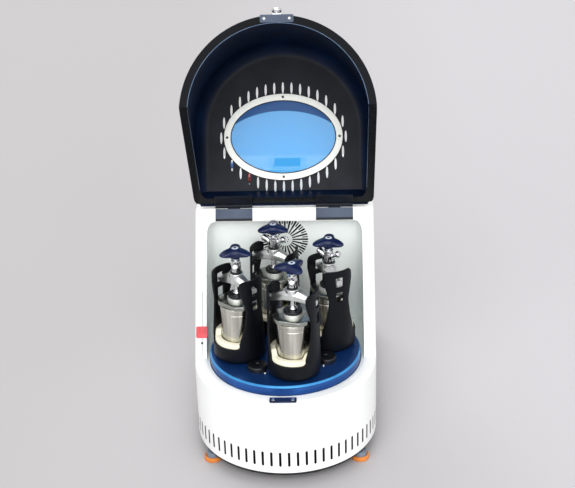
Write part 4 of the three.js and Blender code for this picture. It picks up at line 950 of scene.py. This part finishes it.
def makeWindow():
    high = lid["ringHigh"]
    low = high - lid["ringThick"]
    under = high - lid["pane"]
    pocket = lid["ring"] - lid["paneLap"]
    outline = ellipse(lid["windowA"] - pocket, lid["windowB"] - pocket, 128, windowY)
    pane = prism(outline, under, high, edge=0.5)
    place("windowPane", pane, "lid", "pane_blue", "pane", "window_pane", lidPlace, smooth=20)
    ring = ellipseFrame(0, lid["ring"], low, under - clearance, 1.1)
    place("windowRing", ring, "lid", "ring_white", "ring", "window_ring", lidPlace)
    gasket = ellipseFrame(lid["ring"] - 0.5, 3, low + 0.8, under - 0.2, 0.5)
    place("windowGasket", gasket, "lid", "ring_white", "darkStrip", None, lidPlace)
    midA = lid["windowA"] - lid["ring"] / 2
    midB = lid["windowB"] - lid["ring"] / 2
    for i, (x, y) in enumerate(((midA, 0), (-midA, 0), (0, midB), (0, -midB))):
        head = moved(screwHead(*lid["ringScrew"]), turned(180, "X"))
        place(f"ringScrew{i + 1}", head, "lid", "ring_white", "blackPart", None,
              lidPlace @ at(x, y + windowY, low + 0.2))


catch = {"width": 80.0, "length": 19.0, "thickness": 2.0, "tabWidth": 24.0, "tabHeight": 24.0, "stem": 5.0,
         "stemLength": 1.0, "ball": 13.0, "ballDepth": 15.0, "screw": (3.4, 0.7, 1.6), "screwX": 30.0}


def makeCatch(width, length, thickness, tabWidth, tabHeight, stem, stemLength, ball, ballDepth, screw,
              screwX):
    rim = rimZ + 2 * gap - clearance
    front = -halfWidth - clearance
    plate = slab(width / 2, (front, front + length), 3, rim - thickness, rim, edge=0.4)
    place("catchPlate", plate, "lid", "catch_chrome", "slate", "lid_catch", lidPlace)
    tab = slab(tabWidth / 2, (rim - thickness, rim + tabHeight), 3, front - thickness, front, "Y", 0.4)
    place("catchTab", tab, "lid", "catch_chrome", "chrome", None, lidPlace)
    profile = rounded([(0, 0.2), (stem + 3, 0.2, 0.5), (stem + 3, -2.5, 0.8), (stem, -2.5)], 0, 3, False)
    middle = -stemLength - thickness - ballDepth / 2
    profile += [(ball * x, middle + ballDepth / 2 * y) for x, y in arc(1, 66, -156, 16)]
    post = moved(revolve(profile, 48), turned(-90, "X"))
    place("catchBall", post, "lid", "catch_chrome", "chrome", None,
          lidPlace @ at(0, front - thickness, rim + tabHeight / 2))
    for side, tag in sides:
        head = moved(screwHead(*screw), turned(180, "X"))
        place(f"catchScrew{tag}", head, "lid", "catch_chrome", "jarPlate", None,
              lidPlace @ at(side * screwX, front + length / 2, rim - thickness + 0.2))


makeLid()
makeEdgeHighlight()
makeWindow()
makeCatch(**catch)
print("lid made")


# Turntable

table = {"radius": 195.0, "top": 258.0, "thickness": 21.0, "bevel": 4.0, "skirt": 6.0, "skirtWidth": 10.0,
         "cap": 25.0, "capHeight": 14.0, "capOrbit": 126.0, "screw": (4.0, 2.6, 1.8), "screwOrbit": 137.0,
         "screwSpread": 33.0, "orbit": 118.7, "firstHolder": -77.0, "bore": 12.3}


def makeTable(radius, top, thickness, bevel, skirt, skirtWidth, cap, capHeight, capOrbit, screw, screwOrbit,
              screwSpread, orbit, firstHolder, bore):
    edge = radius - bevel
    low = -thickness - skirt
    disc = lathe([(0, -thickness), (radius - skirtWidth, -thickness), (radius - skirtWidth, low),
                  (radius, low, 1.5), (radius, -bevel, 0.8), (edge, 0, 0.8), (0, 0)], 3, 160)
    holes = [moved(rod(bore, -thickness - 3, 3, steps=48), at(*polar(orbit, firstHolder + 90 * i)))
             for i in range(4)]
    disc = toMesh("turntableDisc", carve(disc, gather(holes)))

    # The bevel is painted bright as a highlight and the rim a lighter blue as lit, on one blue anodised disc
    def discLook(spot, normal):
        reach = math.hypot(spot.x, spot.y)
        if reach > edge - 1 and spot.z > -bevel - 1 and normal.z < 0.98:
            return 1
        return 2 if reach > edge else 0

    dress(disc, ("deepBlue", "bevelHighlightBlue", "rimLitBlue"), discLook, 28)
    spot = at(0, 0, top)
    place("turntableDisc", disc, "table", "turntable_blue", "deepBlue", "turntable", spot)
    for i in range(4):
        capShape = lathe([(0, 0.1), (cap, 0.1), (cap, capHeight, 4), (7, capHeight, 1), (6, capHeight - 3),
                          (0, capHeight - 3)], 5, 48)
        place(f"tableCap{i + 1}", capShape, "table", "turntable_blue", "blackPart", None,
              spot @ at(*polar(capOrbit, firstHolder + 45 + 90 * i)))
        turn = firstHolder + 180 * (i // 2) + (-screwSpread if i % 2 else screwSpread)
        place(f"tableScrew{i + 1}", screwHead(*screw), "table", "turntable_blue", "chrome", None,
              spot @ at(*polar(screwOrbit, turn), -0.2))


makeTable(**table)
print("turntable made")


# Jar holders. X runs across the arms, heights count from the turntable's top

holder = {
    "radius": 66.0, "topRadius": 63.0, "wall": 5.0, "floor": 14.0, "height": 231.0, "base": 0.5,
    "baseEdge": 14.0, "lip": 45.0, "footHalf": 43.0, "footHeight": 60.0, "footCorner": 8.0, "waistHalf": 25.5,
    "waistHeight": 150.0, "topHalf": 37.5, "shoulder": 199.0, "corner": 12.0, "windowHalf": 10.25,
    "upper": (187.0, 214.0), "lower": (147.0, 174.0), "turns": (-17.0, -65.0, -20.0, -41.0),
}


def makeFrameMesh():
    h = holder
    radius = h["radius"]
    inner = radius - h["wall"]
    base = h["base"]
    top = h["height"] + 3
    floor = base + h["floor"]
    cup = lathe([(0, base), (radius, base, h["baseEdge"]), (radius, h["footHeight"], 40),
                 (h["topRadius"], top), (h["topRadius"] - h["wall"], top), (inner, 74, 10), (inner, floor, 2),
                 (0, floor)], 6, 128)
    right = [
        (200, h["lip"]), (h["footHalf"], h["lip"], h["footCorner"]), (h["footHalf"], h["footHeight"], 30),
        (h["waistHalf"] + 5, h["waistHeight"] - 42, 90), (h["waistHalf"], h["waistHeight"], 60),
        (h["topHalf"], h["shoulder"] + 3, 30), (h["topHalf"], h["height"], h["corner"]),
    ]
    left = [(-point[0], *point[1:]) for point in reversed(right)]
    outline = rounded([(-200, -20), (200, -20), *right, *left], 0, 8)
    arms = carve(cup, prism(outline, -200, 200, "X"), "INTERSECT")
    windows = [slab(h["windowHalf"], span, 2.5, -200, 200, "X") for span in (h["upper"], h["lower"])]
    return toMesh("holderFrame", carve(arms, gather(windows)))


# The seat's top rises from the front to its sides
seat = {"radius": 60.7, "bore": 45.3, "base": 14.8, "floor": 11.0, "front": 56.0, "side": 70.0}


def makeSeatMesh(radius, bore, base, floor, front, side):
    top = (front + side) / 2

    def saddle(turn, height):
        if height < top - 8:
            return 0
        share = max(0, min(1, (math.cos(2 * turn) + 0.05) / 0.5))
        return (side - front) * (share * share * (3 - 2 * share) - 0.5)

    profile = rounded([(0, base), (radius, base, 1), (radius, top, 3.5), (bore, top, 1.2),
                       (bore, base + floor, 1), (0, base + floor)], 0, 5, closed=False)
    return toMesh("jarSeat", revolve(profile, 96, saddle))


# The jar is a little slimmer below its band, and a fine groove runs round the band
jar = {"radius": 45.0, "foot": 43.5, "base": 26.1, "height": 120.0, "wall": 7.0, "floor": 8.0, "band": 16.0}


def makeJarMesh(radius, foot, base, height, wall, floor, band):
    top = base + height
    low = top - band
    bore = radius - wall
    return toMesh("jar", lathe([
        (0, base), (foot, base, 3), (foot + 0.4, low - 2), (foot - 0.4, low - 1), (foot - 0.4, low + 0.6),
        (radius, low + 1.2, 0.4), (radius, low + 7), (radius - 0.7, low + 7.4), (radius - 0.7, low + 8.6),
        (radius, low + 9), (radius, top, 1.2), (bore, top, 0.8), (bore, base + floor, 4), (0, base + floor)],
        4, 96))


jarLid = {"base": 146.4, "halfLength": 48.0, "halfWidth": 41.0, "cut": 20.0, "plate": 11.0, "boss": 25.5,
          "bossHeight": 9.0, "plug": 5.0}


def makeJarLidMesh(base, halfLength, halfWidth, cut, plate, boss, bossHeight, plug):
    a = halfLength
    b = halfWidth
    high = base + plate
    outline = rounded([(a, b - cut), (a - cut, b), (cut - a, b), (-a, b - cut), (-a, cut - b), (cut - a, -b),
                       (a - cut, -b), (a, cut - b)], 14, 5)
    shape = carve(prism(outline, base, high, edge=1.5),
                  drum(jar["radius"] - jar["wall"] - clearance, base - plug, base + 4), "UNION")
    top = high + bossHeight
    shape = carve(shape, lathe([(0, high - 5), (boss, high - 5), (boss, top, 1.8), (0, top)], 4, 96), "UNION")

    # The boss is painted bright as a highlight and the plate greyer as shade, on one steel lid
    def isBoss(spot, normal):
        return math.hypot(spot.x, spot.y) < boss + 0.5 and spot.z > high + 0.2

    return dress(toMesh("jarLid", shape), ("jarPlate", "groundSteelHighlight"), isBoss)


# Sections of the bar's wings are x, half width, low and high; the other wing mirrors them
bar = {"boss": 19.0, "low": 205.0, "high": 232.0, "bore": 7.4,
       "wing": ((62, 8, 193, 206), (58, 8.5, 193, 207), (44, 11, 196, 213), (26, 15, 201, 223),
                (12, 18, 204, 229))}


def makeBarMesh(boss, low, high, bore, wing):
    rings = []
    for x, half, under, over in [(-x, *rest) for x, *rest in wing] + list(reversed(wing)):
        middle = (under + over) / 2 + 2
        ring = rounded([(-half, under, 2), (half, under, 2), (half, middle, 3), (half * 0.5, over, 4),
                        (-half * 0.5, over, 4), (-half, middle, 3)], 0, 3)
        rings.append([(x, a, b) for a, b in ring])
    hub = lathe([(0, low), (boss, low, 1.5), (boss - 1, high, 2), (0, high)])
    return toMesh("clampBar", carve(carve(loft(rings), hub, "UNION"), rod(bore, 190, 240)))


screw = {"base": 166.7, "foot": 23.5, "thickness": 8.0, "neck": 12.0, "radius": 7.0, "knobLow": 273.0,
         "knobHigh": 300.0, "tipDrop": 6.0, "tipRise": 4.5, "hub": 15.0, "tip": 44.0, "valley": 20.0,
         "cap": 9.5, "turns": (77.0, 31.0, 110.0, 14.0)}


# Three soft lobes, flat in the middle and dropping to their tips
def makeKnobMesh(steps=144, levels=20):
    s = screw
    rings = []
    for level in range(levels + 1):
        lift = math.pi * level / levels
        share = min(1.0, abs(math.sin(lift)) ** 0.42)
        ring = []
        for k in range(steps):
            turn = 2 * math.pi * k / steps
            reach = s["valley"] + (s["tip"] - s["valley"]) * ((1 + math.cos(3 * turn)) / 2) ** 1.7
            radius = max(0.01, reach * share)
            out = radius / s["tip"]
            top = s["knobHigh"] - s["tipDrop"] * out ** 1.15
            bottom = s["knobLow"] + 4 + s["tipRise"] * out
            height = (top + bottom) / 2 - (top - bottom) / 2 * math.cos(lift)
            ring.append((radius * math.cos(turn), radius * math.sin(turn), height))
        rings.append(ring)
    knob = loft(rings)
    bmesh.ops.remove_doubles(knob, verts=knob.verts, dist=0.02 * millimetre)
    return toMesh("knob", knob)


def makeScrewMeshes():
    s = screw
    base = s["base"]
    top = base + s["thickness"]
    neck = s["neck"]
    radius = s["radius"]
    low = s["knobLow"]
    high = s["knobHigh"]
    hub = s["hub"]
    cap = s["cap"]
    shapes = {
        "screwShaft": lathe([(0, base + 4), (neck, base + 4), (neck, top + 4, 1), (radius + 1, top + 8, 1),
                             (radius, base + 20), (radius, low + 6), (0, low + 6)], 3, 48),
        "screwSole": lathe([(0, base), (s["foot"], base, 2), (s["foot"], top, 3), (neck + 4, top, 1),
                            (neck + 3, top - 2), (0, top - 2)]),
        "knobCollar": lathe([(0, low), (hub - 2, low, 1.5), (hub, low + 7, 2), (hub - 2, low + 12),
                             (0, low + 12)], 3),
        # The cap is painted pale as the knob's highlight
        "knobHighlightCap": lathe([(0, high - 5), (cap, high - 5), (cap - 0.5, high - 0.8, 1.5), (0, high - 0.2)],
                         4, 48),
    }
    return {"knob": makeKnobMesh(), **{name: toMesh(name, shape) for name, shape in shapes.items()}}


nut = {"base": 232.3, "radius": 13.0, "height": 30.0, "collar": 14.5, "collarHeight": 4.0, "bore": 7.3,
       "grip": 8.5, "reach": 31.0, "gripHeight": 30.0, "slant": 37.0, "turns": (107.0, 35.0, 0.0, 131.0)}


def makeNutMeshes():
    n = nut
    bore = n["bore"]
    radius = n["radius"]
    base = n["base"]
    low = base + n["collarHeight"]
    top = low + n["height"]
    body = lathe([(bore, low), (radius, low, 0.8), (radius, top - 8, 0.6), (radius - 1.4, top - 7),
                  (radius - 1.4, top, 1.2), (bore, top, 0.5)], 3, closed=True)
    ring = lathe([(bore, base), (n["collar"], base, 1), (n["collar"], low, 1.2), (bore, low)], 3, closed=True)
    grip = n["grip"]
    slant = math.radians(n["slant"])
    length = n["reach"] / math.cos(slant)
    root = at(0, 0, base + n["gripHeight"] - n["reach"] * math.tan(slant))
    grips = [moved(lathe([(0, 13), (grip - 2, 13), (grip - 1.5, 20, 6), (grip, 27, 6), (grip, length, 5),
                          (0, length + 1)], 5, 48), root @ turned(side * (90 - n["slant"]), "Y"))
             for side in (-1, 1)]
    return {"nutBody": toMesh("nutBody", body), "nutRing": toMesh("nutRing", ring),
            "nutGrips": toMesh("nutGrips", gather(grips))}


# Each piece of a holder: its body, slot, look and CAD node, how far it is turned and how soft its edges are
holderPieces = (
    ("holderFrame", "holder", "holder_black", "holder", "holder_frame", None, 1.2),
    ("jarSeat", "holder", "seat_cream", "seat", "jar_seat", None, 0),
    ("jar", "holder", "jar_steel", "jar", "jar", None, 0),
    ("jarLid", "holder", "lid_steel", "groundSteelHighlight", "jar_lid", None, 0),
    ("clampBar", "holder", "bar_aluminium", "bar", "clamp_bar", None, 0.8),
    ("nutBody", "nut", "nut_chrome", "chrome", "lock_nut", None, 0),
    ("nutRing", "nut", "nut_chrome", "blackPart", None, None, 0),
    ("nutGrips", "nut", "nut_chrome", "chrome", None, nut["turns"], 0),
    ("knob", "screw", "knob_blue", "knob", "clamp_screw", screw["turns"], 0),
    ("knobCollar", "screw", "knob_blue", "knob", None, screw["turns"], 0),
    ("knobHighlightCap", "screw", "knob_blue", "knobHighlightCap", None, screw["turns"], 0),
    ("screwShaft", "screw", "knob_blue", "chrome", None, None, 0),
    ("screwSole", "screw", "knob_blue", "blackPart", None, None, 0),
)


def makeHolders():
    meshes = {"holderFrame": makeFrameMesh(), "jarSeat": makeSeatMesh(**seat), "jar": makeJarMesh(**jar),
              "jarLid": makeJarLidMesh(**jarLid), "clampBar": makeBarMesh(**bar),
              **makeScrewMeshes(), **makeNutMeshes()}
    for i in range(4):
        spot = at(*polar(table["orbit"], table["firstHolder"] + 90 * i), table["top"])
        spot = spot @ turned(holder["turns"][i])
        for name, body, slot, look, node, turns, soften in holderPieces:
            own = spot @ turned(turns[i]) if turns else spot
            place(f"{name}{i + 1}", meshes[name], f"{body}_{i + 1}", slot, look,
                  f"{node}_{i + 1}" if node else None, own, soften)


makeHolders()
print("holders made")


# Fan behind the grille

fan = {"front": 213.3, "radius": 57.5, "hub": 20.0, "bore": 4.5, "blades": 7, "thickness": 2.0, "chord": 20.0,
       "rootPitch": 48.0, "tipPitch": 26.0}


def makeFan(front, radius, hub, bore, blades, thickness, chord, rootPitch, tipPitch, rows=8):
    depth = chamber["fanDepth"]
    parts = [lathe([(bore, 0), (hub, 0, 3), (hub, depth, 1), (bore, depth)], closed=True)]
    for i in range(blades):
        rings = []
        for row in range(rows + 1):
            reach = hub - 2 + (radius - hub + 2) * row / rows
            pitch = math.radians(rootPitch + (tipPitch - rootPitch) * row / rows)
            ring = []
            for along, lift in ((-1, -1), (1, -1), (1, 1), (-1, 1)):
                a = chord / 2 * along
                b = thickness / 2 * lift
                turn = (a * math.cos(pitch) - b * math.sin(pitch)) / reach
                z = a * math.sin(pitch) + b * math.cos(pitch)
                ring.append((reach * math.cos(turn), reach * math.sin(turn), depth / 2 + z))
            rings.append(ring)
        parts.append(moved(loft(rings), turned(360 / blades * i)))
    place("fanRotor", gather(parts), "fan", "fan_black", "fan", "fan_rotor",
          at(0, front, chamber["grilleZ"]) @ turned(-90, "X"))


makeFan(**fan)

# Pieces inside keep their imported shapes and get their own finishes
insideLooks = {
    "darkPaint": ("base_plate",),
    "castPaint": ("bearing_housing", "drive_motor"),
    "beltRubber": ("drive_belt",),
    "gearSteel": ("sun_gear", "drive_shaft", "motor_pulley", "planet_shaft_1", "planet_shaft_2",
                  "planet_shaft_3", "planet_shaft_4"),
}
for look, nodes in insideLooks.items():
    for node in nodes:
        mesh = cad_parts[node].data
        mesh.materials.clear()
        mesh.materials.append(looks[look])
print("inside pieces dressed")


# Floor, lights and background

studio = {
    # floorLeft and floorRight are the ends of a painted fall of light across the floor
    "floorLeft": "B6B4B5", "floorRight": "C1BFC2", "paintedLightSpan": 1.5, "background": "D8D6D8", "floorSize": 14.0,
    "world": 0.68,
    "lights": {
        "key": {"power": 2.2, "angle": 70, "turn": (62, 0, -6)},
        "fill": {"power": 0.45, "angle": 60, "turn": (60, 0, 48)},
        "back": {"power": 1.2, "angle": 50, "turn": (-38, 0, 12)},
    },
}


def makeFloor():
    material, tree, shader, spot = newMaterial("pale floor", {"Roughness": 0.9, "Specular IOR Level": 0.1})
    # The floor is painted darker at its left and lighter at its right: a painted fall of light
    across = addNode(tree, "SeparateXYZ", links={0: spot})
    span = studio["paintedLightSpan"] / 2
    share = addNode(tree, "MapRange", {"From Min": -span, "From Max": span}, {"Value": across.outputs["X"]})
    ramp = addNode(tree, "ValToRGB", links={"Fac": share.outputs["Result"]})
    ramp.color_ramp.elements[0].color = toLinear(studio["floorLeft"])
    ramp.color_ramp.elements[1].color = toLinear(studio["floorRight"])
    tree.links.new(ramp.outputs["Color"], shader.inputs["Base Color"])
    a = studio["floorSize"] / 2
    mesh = bpy.data.meshes.new("floor")
    mesh.from_pydata([(-a, -a, 0), (a, -a, 0), (a, a, 0), (-a, a, 0)], [], [(0, 1, 2, 3)])
    mesh.materials.append(material)
    makeObject("floor", mesh, Matrix.Identity(4))


def makeLights():
    for name, values in studio["lights"].items():
        data = bpy.data.lights.new(f"{name}Light", "SUN")
        data.energy = values["power"]
        data.angle = math.radians(values["angle"])
        light = makeObject(f"{name}Light", data, Matrix.Identity(4))
        light.rotation_euler = [math.radians(value) for value in values["turn"]]


# Lights everything evenly in white, and shows the background's grey to the camera and in reflections
def makeWorld():
    world = bpy.data.worlds.new("studio")
    bpy.context.scene.world = world
    world.use_nodes = True
    tree = world.node_tree
    light = tree.nodes["Background"]
    light.inputs["Color"].default_value = (1, 1, 1, 1)
    light.inputs["Strength"].default_value = studio["world"]
    seen = addNode(tree, "Background", {"Color": toLinear(studio["background"]), "Strength": 1.0})
    path = addNode(tree, "LightPath")
    either = path.outputs["Is Camera Ray"]
    for ray in ("Is Glossy Ray", "Is Transmission Ray"):
        greater = addNode(tree, "Math", links={0: either, 1: path.outputs[ray]}, operation="MAXIMUM")
        either = greater.outputs["Value"]
    mix = addNode(tree, "MixShader", links={0: either, 1: light.outputs["Background"],
                                            2: seen.outputs["Background"]})
    tree.links.new(mix.outputs["Shader"], tree.nodes["World Output"].inputs["Surface"])


makeFloor()
makeLights()
makeWorld()
bpy.context.scene.view_settings.view_transform = "Standard"
print("studio made")
